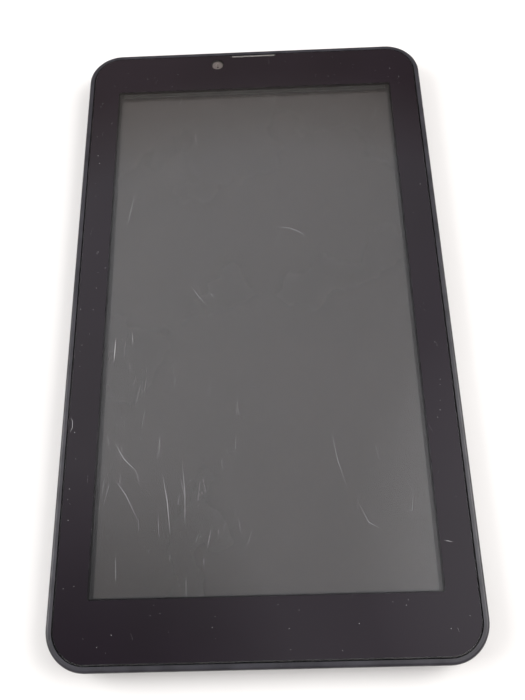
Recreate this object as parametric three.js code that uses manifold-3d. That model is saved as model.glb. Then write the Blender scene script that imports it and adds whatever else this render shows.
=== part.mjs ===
// A seven-inch tablet computer with a mobile radio, built as it comes apart on a bench.
// Units are millimetres. The tablet lies on its back: the origin is the middle of the back face,
// +X is the right side, +Y the end with the earpiece and the sockets, and +Z comes out of the screen.
// Heights named *_BOTTOM and *_TOP are measured up from the back face.
import * as THREE from 'three';
import { mergeVertices } from 'three/addons/utils/BufferGeometryUtils.js';
import Module from 'manifold-3d';

const wasm = await Module();
wasm.setup();

// ---- Driving dimensions -------------------------------------------------------------------------

// Case
const BODY_WIDTH = 107.5;
const BODY_LENGTH = 188;
const BODY_THICKNESS = 10.2;
const CORNER_RADIUS = 10.3;
const WALL = 1.35;
const FLOOR = 1.4;
const BACK_ROUND_WIDTH = 4.2;
const BACK_ROUND_HEIGHT = 4.0;
const CAVITY_ROUND_WIDTH = 3.2;
const CAVITY_ROUND_HEIGHT = 3.0;
const RIM_TOP = 9.9;
const RIM_ROUND = 0.8;
const GROOVE = 0.3;
const CLEARANCE = 0.3;

// Card cover: the strip across the upper back that slides off over the top edge
const COVER_START = 60;
const COVER_THICKNESS = 1.05;
const COVER_GAP = 0.25;
const CARD_FLOOR_START = 56.5;
const CARD_FLOOR_TOP = 2.0;
const TONGUE_WIDTH = 8;
const TONGUE_REACH = 2.7;
const TONGUE_BOTTOM = 0.62;
const TONGUE_PLACES = [-34, 0, 34];

// Glass, its printed window and the frame that carries it
const GLASS_INSET = 1.75;
const GLASS_BOTTOM = 9.3;
const GLASS_EDGE = 0.15;
const WINDOW_WIDTH = 86.9;
const WINDOW_LENGTH = 155.2;
const WINDOW_CENTRE_Y = 0.4;
const FRAME_BOTTOM = 5.1;
const FRAME_TOP = 8.95;
const FRAME_WALL = 1.4;
const LEDGE_BOTTOM = 8.1;

// Display module
const LCD_WIDTH = 97.1;
const LCD_LENGTH = 163.9;
const LCD_CENTRE_Y = -0.65;
const LCD_BOTTOM = 5.1;
const LCD_WALL = 1.4;
const PICTURE_WIDTH = 85.9;
const PICTURE_LENGTH = 154.2;
const PICTURE_CENTRE_Y = 0.1;

// Main board
const BOARD_HALF_WIDTH = 51.6;
const BOARD_START_Y = 38;
const BOARD_END_Y = 91.6;
const BOARD_BOTTOM = 4.0;
const BOARD_TOP = 4.8;
const CHIP_TOP = 3.95;

// Sockets in the top edge
const USB_X = -28;
const USB_Z = 3.82;
const USB_WIDTH = 7.5;
const USB_HEIGHT = 2.4;
const USB_DEPTH = 5.7;
const USB_MOUTH = 93.45;
const USB_WALL = 0.3;
const JACK_X = 31;
const JACK_Z = 4.9;
const JACK_BORE = 1.8;
const JACK_NOSE = 2.5;
const JACK_NOSE_END = 93.65;
const JACK_BODY_END = 91.55;

// Earpiece and cameras
const EARPIECE_SLOT_WIDTH = 14.5;
const EARPIECE_SLOT_DEPTH = 1.05;
const FRONT_CAMERA_X = -11.8;
const FRONT_CAMERA_Y = 88.5;
const REAR_CAMERA_X = 38;
const REAR_CAMERA_Y = 77;
const REAR_WINDOW_RADIUS = 3.1;

// Side keys
const KEY_LENGTH = 8;
const KEY_HEIGHT = 2.0;
const KEY_Z = 3.7;
const KEY_PROUD = 0.5;
const KEY_PLACES = { power: 52, volume_down: 66.5, volume_up: 78 };

// Battery
const BATTERY_WIDTH = 72;
const BATTERY_LENGTH = 97;
const BATTERY_THICKNESS = 2.9;
const BATTERY_CENTRE_Y = -17.5;
const BATTERY_BOTTOM = 1.65;

// Loudspeaker, microphone and vibration motor
const SPEAKER_X = 28;
const SPEAKER_Y = -78;
const SPEAKER_RADIUS = 7;
const GRILLE_HOLE_RADIUS = 0.65;
const GRILLE_PITCH = 2.3;
const GRILLE_COLUMNS = 7;
const GRILLE_ROWS = 3;
const MICROPHONE_X = -14;
const MICROPHONE_Z = 4.4;
const MOTOR_Y = -87;
const MOTOR_Z = 3.8;
const MOTOR_RADIUS = 2.0;

const SCREW_PLACES = [[-50.3, 42], [50.3, 42], [-46.5, 86.5], [43.5, 86.5]];

// ---- Colours ------------------------------------------------------------------------------------

const COLOURS = {
  case_plastic: [0x2c2e33, 0.5, 0],
  frame_plastic: [0x1b1c1f, 0.5, 0],
  key_plastic: [0x26282c, 0.4, 0],
  glass: [0x0c0d10, 0.06, 0],
  clear_plastic: [0xb9c4cc, 0.1, 0],
  film: [0xd8dadb, 0.4, 0],
  picture: [0x5f5d5a, 0.3, 0],
  steel: [0xa9acb0, 0.35, 1],
  board: [0x15402c, 0.5, 0],
  chip: [0x17181a, 0.55, 0],
  socket_plastic: [0x121212, 0.6, 0],
  foam: [0x1f1f1f, 0.9, 0],
  tape: [0x101010, 0.8, 0],
  flex: [0xa8641c, 0.4, 0],
  cell: [0xb4b7ba, 0.35, 0.4],
  red_lead: [0xa81818, 0.5, 0],
  black_lead: [0x151515, 0.5, 0],
  woven_mesh: [0x8b8e92, 0.45, 0.8],
};

// ---- Shape helpers ------------------------------------------------------------------------------

const tablet = new THREE.Group();

function paint(colourName) {
  const [color, roughness, metalness] = COLOURS[colourName];
  return new THREE.MeshStandardMaterial({ color, roughness, metalness });
}

function piece(name, shape, colourName, group = tablet) {
  const geometry = shape.isBufferGeometry ? shape : toGeometry(shape);
  const mesh = new THREE.Mesh(geometry, paint(colourName));
  mesh.name = name;
  group.add(mesh);
  return mesh;
}

function toSolid(geometry) {
  const bare = geometry.clone();
  bare.deleteAttribute('normal');
  bare.deleteAttribute('uv');
  const merged = mergeVertices(bare, 1e-4);
  const vertProperties = new Float32Array(merged.attributes.position.array);
  const triVerts = new Uint32Array(merged.index.array);
  return new wasm.Manifold(new wasm.Mesh({ numProp: 3, vertProperties, triVerts }));
}

function toGeometry(solid) {
  const { vertProperties, triVerts } = solid.getMesh();
  const geometry = new THREE.BufferGeometry();
  geometry.setAttribute('position', new THREE.BufferAttribute(vertProperties, 3));
  geometry.setIndex(new THREE.BufferAttribute(triVerts, 1));
  geometry.computeVertexNormals();
  return geometry;
}

function roundedRectangle(width, length, radius, centreX = 0, centreY = 0) {
  const right = width / 2 - radius;
  const top = length / 2 - radius;
  const shape = new THREE.Shape();
  shape.absarc(centreX + right, centreY + top, radius, 0, Math.PI / 2);
  shape.absarc(centreX - right, centreY + top, radius, Math.PI / 2, Math.PI);
  shape.absarc(centreX - right, centreY - top, radius, Math.PI, 1.5 * Math.PI);
  shape.absarc(centreX + right, centreY - top, radius, 1.5 * Math.PI, 2 * Math.PI);
  shape.closePath();
  return shape;
}

// An upright plate of one outline between two heights
function plate(shape, bottom, top, curveSegments = 3) {
  const options = { depth: top - bottom, bevelEnabled: false, curveSegments };
  return new THREE.ExtrudeGeometry(shape, options).translate(0, 0, bottom);
}

// A plate whose lower and upper edges are rounded by the given width and height. The outline given
// is that of the middle, where it is widest.
function roundedPlate(size, bottom, top, round, bevelSegments = 1) {
  const [width, length, radius] = size;
  const [roundWidth, roundHeight] = round;
  const inner = roundedRectangle(width - 2 * roundWidth, length - 2 * roundWidth, radius - roundWidth);
  const options = {
    depth: top - bottom - 2 * roundHeight,
    bevelEnabled: true,
    bevelSize: roundWidth,
    bevelThickness: roundHeight,
    bevelSegments,
    curveSegments: 3,
  };
  return new THREE.ExtrudeGeometry(inner, options).translate(0, 0, bottom + roundHeight);
}

// A box between two corners
function block(x0, x1, y0, y1, z0, z1) {
  const box = new THREE.BoxGeometry(x1 - x0, y1 - y0, z1 - z0);
  return box.translate((x0 + x1) / 2, (y0 + y1) / 2, (z0 + z1) / 2);
}

// A cylinder along the named axis, from start to end on that axis
function rod(axis, radius, start, end, [a, b], sides = 12) {
  const cylinder = new THREE.CylinderGeometry(radius, radius, end - start, sides);
  const middle = (start + end) / 2;
  if (axis === 'x') return cylinder.rotateZ(-Math.PI / 2).translate(middle, a, b);
  if (axis === 'y') return cylinder.translate(a, middle, b);
  return cylinder.rotateX(Math.PI / 2).translate(a, b, middle);
}

// A round-cornered slot through a side wall: along Y on the right side, along X at the top end
function wallSlot(side, centre, z, length, height, start, end, corner = height / 2 - 0.01) {
  const outline = roundedRectangle(length, height, corner);
  const slot = plate(outline, start, end, 2);
  if (side === 'right') return slot.rotateX(Math.PI / 2).rotateZ(Math.PI / 2).translate(0, centre, z);
  return slot.rotateX(Math.PI / 2).rotateZ(Math.PI).translate(centre, 0, z);
}

function cut(solid, tools) {
  return tools.reduce((left, tool) => left.subtract(toSolid(tool)), solid);
}

function join(solid, additions) {
  return additions.reduce((whole, addition) => whole.add(toSolid(addition)), solid);
}

// A round or flat lead along a smooth line through its points
function lead(points, width, height, sides, steps) {
  const section = new THREE.Shape();
  for (let side = 0; side < sides; side += 1) {
    const angle = ((side + 0.5) / sides) * 2 * Math.PI;
    const x = (height / 2) * Math.cos(angle);
    const y = (width / 2) * Math.sin(angle);
    if (side === 0) section.moveTo(x, y);
    else section.lineTo(x, y);
  }
  section.closePath();
  const path = new THREE.CatmullRomCurve3(points.map((point) => new THREE.Vector3(...point)));
  return new THREE.ExtrudeGeometry(section, { steps, extrudePath: path, bevelEnabled: false });
}

// A thin flexible strip: a line in the Y-Z plane, given thickness, and extruded across X
function ribbon(points, thickness, x0, x1, divisions) {
  const line = new THREE.SplineCurve(points.map(([y, z]) => new THREE.Vector2(y, z)));
  const left = [];
  const right = [];
  for (let step = 0; step <= divisions; step += 1) {
    const at = line.getPoint(step / divisions);
    const along = line.getTangent(step / divisions);
    const across = new THREE.Vector2(-along.y, along.x).multiplyScalar(thickness / 2);
    left.push(at.clone().add(across));
    right.unshift(at.clone().sub(across));
  }
  const strip = plate(new THREE.Shape([...left, ...right]), x0, x1);
  return strip.rotateX(Math.PI / 2).rotateZ(Math.PI / 2);
}

// ---- Case ---------------------------------------------------------------------------------------

const HALF_WIDTH = BODY_WIDTH / 2;
const HALF_LENGTH = BODY_LENGTH / 2;
const FAR = 120;

function makeBodyForm() {
  const backRound = [BACK_ROUND_WIDTH, BACK_ROUND_HEIGHT];
  const lower = roundedPlate([BODY_WIDTH, BODY_LENGTH, CORNER_RADIUS], 0, 24, backRound, 4);
  const looseSize = [BODY_WIDTH + 0.1, BODY_LENGTH + 0.1, CORNER_RADIUS + 0.05];
  const upper = roundedPlate(looseSize, -5, RIM_TOP, [RIM_ROUND, RIM_ROUND], 2);
  return toSolid(lower).intersect(toSolid(upper));
}

const bodyForm = makeBodyForm();

function makeCavity() {
  const width = BODY_WIDTH - 2 * WALL;
  const length = BODY_LENGTH - 2 * WALL;
  const round = [CAVITY_ROUND_WIDTH, CAVITY_ROUND_HEIGHT];
  const hollow = roundedPlate([width, length, CORNER_RADIUS - WALL], FLOOR, 26, round, 3);
  const cardFloor = block(-FAR, FAR, CARD_FLOOR_START, FAR, 0, CARD_FLOOR_TOP);
  return toSolid(hollow).subtract(toSolid(cardFloor));
}

// Where cards slide into their sockets, the floor under the card cover is open
const CARD_BAYS = [[-41, -25.5], [-20.5, -5], [4, 19.5]];
const CARD_BAY_START = 66;
const CARD_BAY_END = 88;

function grilleHoles() {
  const holes = [];
  for (let row = 0; row < GRILLE_ROWS; row += 1) {
    for (let column = 0; column < GRILLE_COLUMNS; column += 1) {
      const x = SPEAKER_X + (column - (GRILLE_COLUMNS - 1) / 2) * GRILLE_PITCH * 0.78;
      const y = SPEAKER_Y + (row - (GRILLE_ROWS - 1) / 2) * GRILLE_PITCH;
      holes.push(rod('z', GRILLE_HOLE_RADIUS, -1, FLOOR + 0.5, [x, y], 6));
    }
  }
  return holes;
}

const SIDE_HOOKS = [-70, -25, 20];
const END_HOOKS = [-38, 8, 38];
const HOOK_LENGTH = 6;
const HOOK_BOTTOM = 6.1;
const HOOK_TOP = 7.0;
const HOOK_REACH = 0.8;

// Snap hooks on the inside of the wall, or the wider pockets in the frame that take them
function hookBlocks(grow) {
  const inside = HALF_WIDTH - WALL - HOOK_REACH - grow;
  const insideEnd = HALF_LENGTH - WALL - HOOK_REACH - grow;
  const half = HOOK_LENGTH / 2 + grow;
  const low = HOOK_BOTTOM - grow;
  const high = HOOK_TOP + grow;
  const blocks = [];
  for (const y of SIDE_HOOKS) {
    blocks.push(block(inside, HALF_WIDTH - WALL + 0.2, y - half, y + half, low, high));
    blocks.push(block(-HALF_WIDTH + WALL - 0.2, -inside, y - half, y + half, low, high));
  }
  for (const x of END_HOOKS) {
    blocks.push(block(x - half, x + half, -HALF_LENGTH + WALL - 0.2, -insideEnd, low, high));
  }
  return blocks;
}

function tongueBlocks(grow, reachGrow) {
  const end = COVER_START + 1;
  return TONGUE_PLACES.map((x) => block(
    x - TONGUE_WIDTH / 2 - grow,
    x + TONGUE_WIDTH / 2 + grow,
    COVER_START + COVER_GAP - TONGUE_REACH - reachGrow,
    end,
    TONGUE_BOTTOM - grow * 0.6,
    COVER_THICKNESS + grow * 0.8,
  ));
}

function makeRearCover() {
  const shell = bodyForm.subtract(makeCavity());
  const openings = [
    block(-FAR, FAR, COVER_START, FAR, -1, COVER_THICKNESS + COVER_GAP),
    ...tongueBlocks(CLEARANCE, CLEARANCE),
    ...CARD_BAYS.map(([x0, x1]) => block(x0, x1, CARD_BAY_START, CARD_BAY_END, 1, 2.5)),
    rod('z', REAR_WINDOW_RADIUS + 0.1, 1, 2.5, [REAR_CAMERA_X, REAR_CAMERA_Y], 16),
    ...grilleHoles(),
    wallSlot('top', USB_X, USB_Z, USB_WIDTH + 0.8, USB_HEIGHT + 0.8, 90, FAR, 0.8),
    rod('y', JACK_NOSE + CLEARANCE, 90, FAR, [JACK_X, JACK_Z], 16),
    rod('y', 0.5, -FAR, -90, [MICROPHONE_X, MICROPHONE_Z], 8),
    ...Object.values(KEY_PLACES).map((y) => (
      wallSlot('right', y, KEY_Z, KEY_LENGTH + 0.5, KEY_HEIGHT + 0.4, 51, FAR)
    )),
  ];
  const ribX = BATTERY_WIDTH / 2 + 0.6;
  const ribs = [
    block(ribX, ribX + 1, -45, 10, FLOOR - 0.2, 2.7),
    block(-ribX - 1, -ribX, -45, 10, FLOOR - 0.2, 2.7),
  ];
  return join(cut(shell, openings), [...hookBlocks(0), ...ribs]);
}

piece('rear_cover', makeRearCover(), 'case_plastic');

function makeCardCover() {
  const strip = block(-FAR, FAR, COVER_START + COVER_GAP, FAR, -1, COVER_THICKNESS);
  const panel = bodyForm.intersect(toSolid(strip));
  const place = [REAR_CAMERA_X, REAR_CAMERA_Y];
  const hole = rod('z', REAR_WINDOW_RADIUS + CLEARANCE, -1, 2, place, 24);
  return join(cut(panel, [hole]), tongueBlocks(0, 0));
}

piece('card_cover', makeCardCover(), 'case_plastic');

const rearWindow = new THREE.CylinderGeometry(REAR_WINDOW_RADIUS, REAR_WINDOW_RADIUS, 0.7, 24);
const rearWindowMesh = piece('rear_camera_window', rearWindow, 'clear_plastic');
rearWindowMesh.rotation.x = Math.PI / 2;
rearWindowMesh.position.set(REAR_CAMERA_X, REAR_CAMERA_Y, 0.55);

// ---- Front frame, glass and tape ----------------------------------------------------------------

const FRAME_INSET = WALL + GROOVE;
const LEDGE_OPENING = roundedRectangle(92.6, 159.8, 1.5, 0, 0.3);
const TOUCH_FLEX = { x0: -43, x1: -34 };
const FLEX_SLOT = { x0: TOUCH_FLEX.x0 - 1, x1: TOUCH_FLEX.x1 + 1, y0: 82.4, y1: 86.1 };
const SCREW_SHANK = 0.6;
const SCREW_BOSS = 1.3;
const SCREW_HOLE = 0.85;

function insetOutline(inset) {
  return roundedRectangle(BODY_WIDTH - 2 * inset, BODY_LENGTH - 2 * inset, CORNER_RADIUS - inset);
}

function makeFrontFrame() {
  const blank = toSolid(plate(insetOutline(FRAME_INSET), FRAME_BOTTOM, FRAME_TOP));
  const hollow = plate(insetOutline(FRAME_INSET + FRAME_WALL), FRAME_BOTTOM - 1, LEDGE_BOTTOM);
  const ring = cut(blank, [hollow, plate(LEDGE_OPENING, LEDGE_BOTTOM - 1, FRAME_TOP + 1)]);
  const bosses = SCREW_PLACES.map((place) => (
    rod('z', SCREW_BOSS, BOARD_TOP + 0.05, LEDGE_BOTTOM + 0.3, place, 10)
  ));
  const pockets = [
    block(JACK_X - 3.6, JACK_X + 3.6, 81.9, 94, FRAME_BOTTOM - 1, 7.7),
    block(-6.8, 6.8, 89.6, 91.9, 7, FRAME_TOP + 1),
    rod('z', 2.6, 7, FRAME_TOP + 1, [FRONT_CAMERA_X, FRONT_CAMERA_Y], 16),
    block(FLEX_SLOT.x0, FLEX_SLOT.x1, FLEX_SLOT.y0, FLEX_SLOT.y1, 7, FRAME_TOP + 1),
    block(MICROPHONE_X - 1.9, MICROPHONE_X + 1.9, -93, -90.8, FRAME_BOTTOM - 1, MICROPHONE_Z + 1.8),
    ...hookBlocks(CLEARANCE),
    ...SCREW_PLACES.map((place) => rod('z', SCREW_HOLE, BOARD_TOP - 1, 7.6, place, 8)),
  ];
  return cut(join(ring, bosses), pockets);
}

piece('front_frame', makeFrontFrame(), 'frame_plastic');

const GLASS_TOP_EDGE = HALF_LENGTH - GLASS_INSET;

function makeTouchGlass() {
  const size = [BODY_WIDTH - 2 * GLASS_INSET, BODY_LENGTH - 2 * GLASS_INSET, CORNER_RADIUS - GLASS_INSET];
  const sheet = roundedPlate(size, GLASS_BOTTOM, BODY_THICKNESS, [GLASS_EDGE, GLASS_EDGE], 1);
  const notchStart = GLASS_TOP_EDGE - EARPIECE_SLOT_DEPTH;
  const half = EARPIECE_SLOT_WIDTH / 2;
  return cut(toSolid(sheet), [block(-half, half, notchStart, FAR, GLASS_BOTTOM - 1, FAR)]);
}

piece('touch_glass', makeTouchGlass(), 'glass');

function makeGlassTape() {
  const blank = toSolid(plate(insetOutline(FRAME_INSET + 0.7), FRAME_TOP + 0.05, GLASS_BOTTOM - 0.05));
  return cut(blank, [
    plate(roundedRectangle(96.4, 163.6, 1.5, 0, 0.3), 8, 10),
    block(-7.2, 7.2, 89.2, FAR, 8, 10),
    rod('z', 2.8, 8, 10, [FRONT_CAMERA_X, FRONT_CAMERA_Y], 12),
    block(FLEX_SLOT.x0 - 0.3, FLEX_SLOT.x1 + 0.3, 81, FLEX_SLOT.y1 + 0.3, 8, 10),
  ]);
}

piece('glass_tape', makeGlassTape(), 'tape');

// ---- Display ------------------------------------------------------------------------------------

const display = new THREE.Group();
display.position.set(0, LCD_CENTRE_Y, LCD_BOTTOM);
tablet.add(display);

const LCD_FLEX = { x0: 10, x1: 26 };
const SHEET_WIDTH = LCD_WIDTH - 2 * LCD_WALL - 0.3;
const SHEET_LENGTH = LCD_LENGTH - 2 * LCD_WALL - 0.3;

function sheet(name, bottom, top, colourName) {
  const flat = new THREE.BoxGeometry(SHEET_WIDTH, SHEET_LENGTH, top - bottom);
  const mesh = piece(name, flat, colourName, display);
  mesh.position.z = (bottom + top) / 2;
  return mesh;
}

function makeBacklightTray() {
  const halfWidth = LCD_WIDTH / 2;
  const halfLength = LCD_LENGTH / 2;
  const innerWidth = halfWidth - LCD_WALL;
  const innerLength = halfLength - LCD_WALL;
  const blank = toSolid(block(-halfWidth, halfWidth, -halfLength, halfLength, 0, 2.35));
  return cut(blank, [
    block(-innerWidth, innerWidth, -innerLength, innerLength, 0.3, 3),
    block(LCD_FLEX.x0 - 1, LCD_FLEX.x1 + 1, innerLength - 1, FAR, 1.6, 3),
  ]);
}

piece('backlight_tray', makeBacklightTray(), 'steel', display);
sheet('reflector_sheet', 0.35, 0.5, 'film');
sheet('light_guide', 0.55, 1.15, 'clear_plastic');
sheet('diffuser_sheet', 1.2, 1.4, 'film');

const CELL_BOTTOM = 1.6;
const BOND_LEDGE = 2.6;

function makeDisplayCell() {
  const halfWidth = SHEET_WIDTH / 2;
  const halfLength = SHEET_LENGTH / 2;
  const rear = block(-halfWidth, halfWidth, -halfLength, halfLength, CELL_BOTTOM, CELL_BOTTOM + 0.3);
  const frontEnd = halfLength - BOND_LEDGE;
  const front = block(-halfWidth, halfWidth, -halfLength, frontEnd, CELL_BOTTOM + 0.2, CELL_BOTTOM + 0.6);
  return join(toSolid(rear), [front]);
}

piece('display_cell', makeDisplayCell(), 'glass', display);

const PICTURE_Y = PICTURE_CENTRE_Y - LCD_CENTRE_Y;
const polarizer = new THREE.BoxGeometry(PICTURE_WIDTH + 2, PICTURE_LENGTH + 1.6, 0.1);
const polarizerMesh = piece('front_polarizer', polarizer, 'picture', display);
polarizerMesh.position.set(0, PICTURE_Y, 2.3);

function makeDisplayBezel() {
  const outer = toSolid(block(-48.85, 48.85, -82.25, 82.25, 0.7, 2.7));
  const openWidth = PICTURE_WIDTH / 2 + 0.7;
  const openLength = PICTURE_LENGTH / 2 + 0.7;
  return cut(outer, [
    block(-48.65, 48.65, -82.05, 82.05, 0, 2.45),
    block(-openWidth, openWidth, PICTURE_Y - openLength, PICTURE_Y + openLength, 0, 3),
    block(LCD_FLEX.x0 - 1, LCD_FLEX.x1 + 1, 81, FAR, 0, 2.4),
  ]);
}

piece('display_bezel', makeDisplayBezel(), 'steel', display);

function makeDisplayGasket() {
  const middle = WINDOW_CENTRE_Y - LCD_CENTRE_Y;
  const outer = plate(roundedRectangle(92.2, 159.4, 1.2, 0, middle - 0.1), 2.75, 4.1);
  const inner = plate(roundedRectangle(WINDOW_WIDTH + 1.7, WINDOW_LENGTH + 2.0, 0.5, 0, middle), 2, 5);
  return cut(toSolid(outer), [inner]);
}

piece('display_gasket', makeDisplayGasket(), 'foam', display);

// The flexible circuits bend from the display and the touch sensor down to the board's front side
const FLEX_THICKNESS = 0.14;
const CONNECTOR_Y0 = 85.5;
const CONNECTOR_Y1 = 88.6;
const CONNECTOR_BOTTOM = BOARD_TOP + 0.05;
const CONNECTOR_TOP = CONNECTOR_BOTTOM + 1.05;
const FLEX_Z = CONNECTOR_BOTTOM + 0.5;

const displayFlexLine = [
  [77.9, 7.13], [79.6, 7.13], [81.4, 7.1], [82.6, 6.6], [83.2, 5.9], [84.2, 5.4], [86.6, FLEX_Z],
];
piece('display_flex', ribbon(displayFlexLine, FLEX_THICKNESS, LCD_FLEX.x0, LCD_FLEX.x1, 14), 'flex');

const touchFlexLine = [
  [85.6, 9.12], [84.3, 9.05], [83.3, 8.3], [83.1, 7.2], [83.3, 6.0], [84.4, 5.4], [86.6, FLEX_Z],
];
piece('touch_flex', ribbon(touchFlexLine, FLEX_THICKNESS, TOUCH_FLEX.x0, TOUCH_FLEX.x1, 14), 'flex');

function makeFlexConnector(x0, x1) {
  const body = toSolid(block(x0, x1, CONNECTOR_Y0, CONNECTOR_Y1, CONNECTOR_BOTTOM, CONNECTOR_TOP));
  return cut(body, [block(x0 + 0.4, x1 - 0.4, 80, 87, FLEX_Z - 0.28, FLEX_Z + 0.28)]);
}

piece('display_connector', makeFlexConnector(LCD_FLEX.x0 - 0.7, LCD_FLEX.x1 + 0.7), 'socket_plastic');
piece('touch_connector', makeFlexConnector(TOUCH_FLEX.x0 - 0.7, TOUCH_FLEX.x1 + 0.7), 'socket_plastic');

// ---- Main board and what is soldered to it ------------------------------------------------------

function makeMainBoard() {
  const length = BOARD_END_Y - BOARD_START_Y;
  const middle = (BOARD_START_Y + BOARD_END_Y) / 2;
  const half = BOARD_HALF_WIDTH;
  const square = toSolid(block(-half, half, BOARD_START_Y, middle, BOARD_BOTTOM, BOARD_TOP));
  const roundEnd = roundedRectangle(2 * half, length, 7.8, 0, middle);
  const rounded = plate(roundEnd, BOARD_BOTTOM, BOARD_TOP);
  const cameraX = REAR_CAMERA_X;
  const cameraY = REAR_CAMERA_Y;
  return cut(join(square, [rounded]), [
    block(USB_X - 4.1, USB_X + 4.1, 87.4, FAR, 0, 9),
    block(JACK_X - 3.6, JACK_X + 3.6, 81.6, FAR, 0, 9),
    block(half - 0.7, FAR, 45, FAR, 0, 9),
    block(cameraX - 3.6, cameraX + 3.6, cameraY - 3.6, cameraY + 3.6, 0, 9),
    ...SCREW_PLACES.map((place) => rod('z', SCREW_HOLE, 0, 9, place, 8)),
  ]);
}

piece('main_board', makeMainBoard(), 'board');

// Chips hang from the board's rear side: [name, width, length, height, x, y, colour]
const CHIPS = [
  ['processor', 14, 14, 1.2, 15, 49, 'chip'],
  ['memory_chip', 11, 13, 1.0, -1, 49, 'chip'],
  ['storage_chip', 11.5, 13, 1.0, -16.5, 49, 'chip'],
  ['power_chip', 7, 7, 0.9, 31, 46, 'chip'],
  ['wifi_chip', 8, 8, 1.0, 42, 47.5, 'chip'],
];
for (const [name, width, length, height, x, y, colourName] of CHIPS) {
  const mesh = piece(name, new THREE.BoxGeometry(width, length, height), colourName);
  mesh.position.set(x, y, CHIP_TOP - height / 2);
}

// Pressed cans and card sockets are thin boxes open on one side
function makeCan(x0, x1, y0, y1, bottom, wall, openSide) {
  const top = CHIP_TOP;
  const end = openSide === 'up' ? y1 - wall : y1 + 1;
  const roof = openSide === 'up' ? top + 1 : top - wall;
  const blank = toSolid(block(x0, x1, y0, y1, bottom, top));
  return cut(blank, [block(x0 + wall, x1 - wall, y0 + wall, end, bottom + wall, roof)]);
}

piece('radio_shield', makeCan(-47.5, -28.5, 42, 59, 2.45, 0.25, 'up'), 'steel');
piece('sim_socket_1', makeCan(-40.5, -26, 61.5, 77.5, 2.4, 0.35, 'end'), 'steel');
piece('sim_socket_2', makeCan(-20, -5.5, 61.5, 77.5, 2.4, 0.35, 'end'), 'steel');
piece('memory_card_socket', makeCan(4.5, 19, 61.5, 77, 2.5, 0.35, 'end'), 'steel');

function makeUsbSocket() {
  const half = USB_WIDTH / 2;
  const low = USB_Z - USB_HEIGHT / 2;
  const high = USB_Z + USB_HEIGHT / 2;
  const back = USB_MOUTH - USB_DEPTH;
  const inside = half - USB_WALL;
  const blank = toSolid(block(USB_X - half, USB_X + half, back, USB_MOUTH, low, high));
  const hollow = block(
    USB_X - inside, USB_X + inside, back + 0.6, FAR, low + USB_WALL, high - USB_WALL,
  );
  const tongue = block(USB_X - 2.2, USB_X + 2.2, back + 0.3, USB_MOUTH - 0.8, USB_Z + 0.1, USB_Z + 0.55);
  return join(cut(blank, [hollow]), [tongue]);
}

piece('usb_socket', makeUsbSocket(), 'steel');

function makeHeadphoneSocket() {
  const body = toSolid(block(JACK_X - 3.25, JACK_X + 3.25, 82.1, JACK_BODY_END, 2.5, 7.3));
  const nose = rod('y', JACK_NOSE, JACK_BODY_END - 0.2, JACK_NOSE_END, [JACK_X, JACK_Z], 16);
  const bore = rod('y', JACK_BORE, 83.2, FAR, [JACK_X, JACK_Z], 12);
  return cut(join(body, [nose]), [bore]);
}

piece('headphone_socket', makeHeadphoneSocket(), 'socket_plastic');

// ---- Side keys, their switches and plungers -----------------------------------------------------

const FLANGE_INSIDE = 51.45;
const FLANGE_OUTSIDE = 51.9;
const FLANGE_OVERHANG = 1.1;
const SWITCH_BACK = 47.6;
const SWITCH_FACE = 50.7;
const SWITCH_Z = 3.2;

function makeKey(y) {
  const half = KEY_LENGTH / 2;
  const capStart = FLANGE_OUTSIDE - 0.2;
  const cap = wallSlot('right', y, KEY_Z, KEY_LENGTH, KEY_HEIGHT, capStart, HALF_WIDTH + KEY_PROUD);
  const reach = half + FLANGE_OVERHANG;
  const flange = block(FLANGE_INSIDE, FLANGE_OUTSIDE, y - reach, y + reach, 3.0, 4.75);
  return join(toSolid(cap), [flange]);
}

function makeSwitch(y) {
  const body = toSolid(block(SWITCH_BACK, SWITCH_FACE, y - 2.1, y + 2.1, 2.4, CHIP_TOP));
  const well = block(SWITCH_FACE - 1.1, FAR, y - 1.1, y + 1.1, SWITCH_Z - 0.5, SWITCH_Z + 0.5);
  return cut(body, [well]);
}

for (const [use, y] of Object.entries(KEY_PLACES)) {
  piece(`${use}_button`, makeKey(y), 'key_plastic');
  piece(`${use}_switch`, makeSwitch(y), 'steel');
  const plunger = piece(`${use}_plunger`, new THREE.BoxGeometry(1.25, 1.5, 0.6), 'socket_plastic');
  plunger.position.set(SWITCH_FACE + 0.05, y, SWITCH_Z);
}

// ---- Battery ------------------------------------------------------------------------------------

const batterySize = [BATTERY_WIDTH, BATTERY_LENGTH, 2];
const batteryForm = roundedPlate(batterySize, 0, BATTERY_THICKNESS, [0.5, 0.5], 1);
const batteryMesh = piece('battery_cell', batteryForm, 'cell');
batteryMesh.position.set(0, BATTERY_CENTRE_Y, BATTERY_BOTTOM);

const CIRCUIT_Y = BATTERY_CENTRE_Y + BATTERY_LENGTH / 2 + 2.4;
const circuitMesh = piece('battery_circuit', new THREE.BoxGeometry(58, 4.2, 1.1), 'board');
circuitMesh.position.set(0, CIRCUIT_Y, 3.0);

function makeBatteryLead(x) {
  const start = CIRCUIT_Y + 2.3;
  const points = [
    [x, start, 3.0], [x * 1.3, start + 1.6, 2.9], [x * 1.5, 38.4, 3.0], [x * 1.5, 40.6, 3.3],
  ];
  return lead(points, 0.9, 0.9, 8, 8);
}

piece('battery_lead_red', makeBatteryLead(2.5), 'red_lead');
piece('battery_lead_black', makeBatteryLead(-2.5), 'black_lead');

// ---- Sound, vibration and aerial ----------------------------------------------------------------

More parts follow.
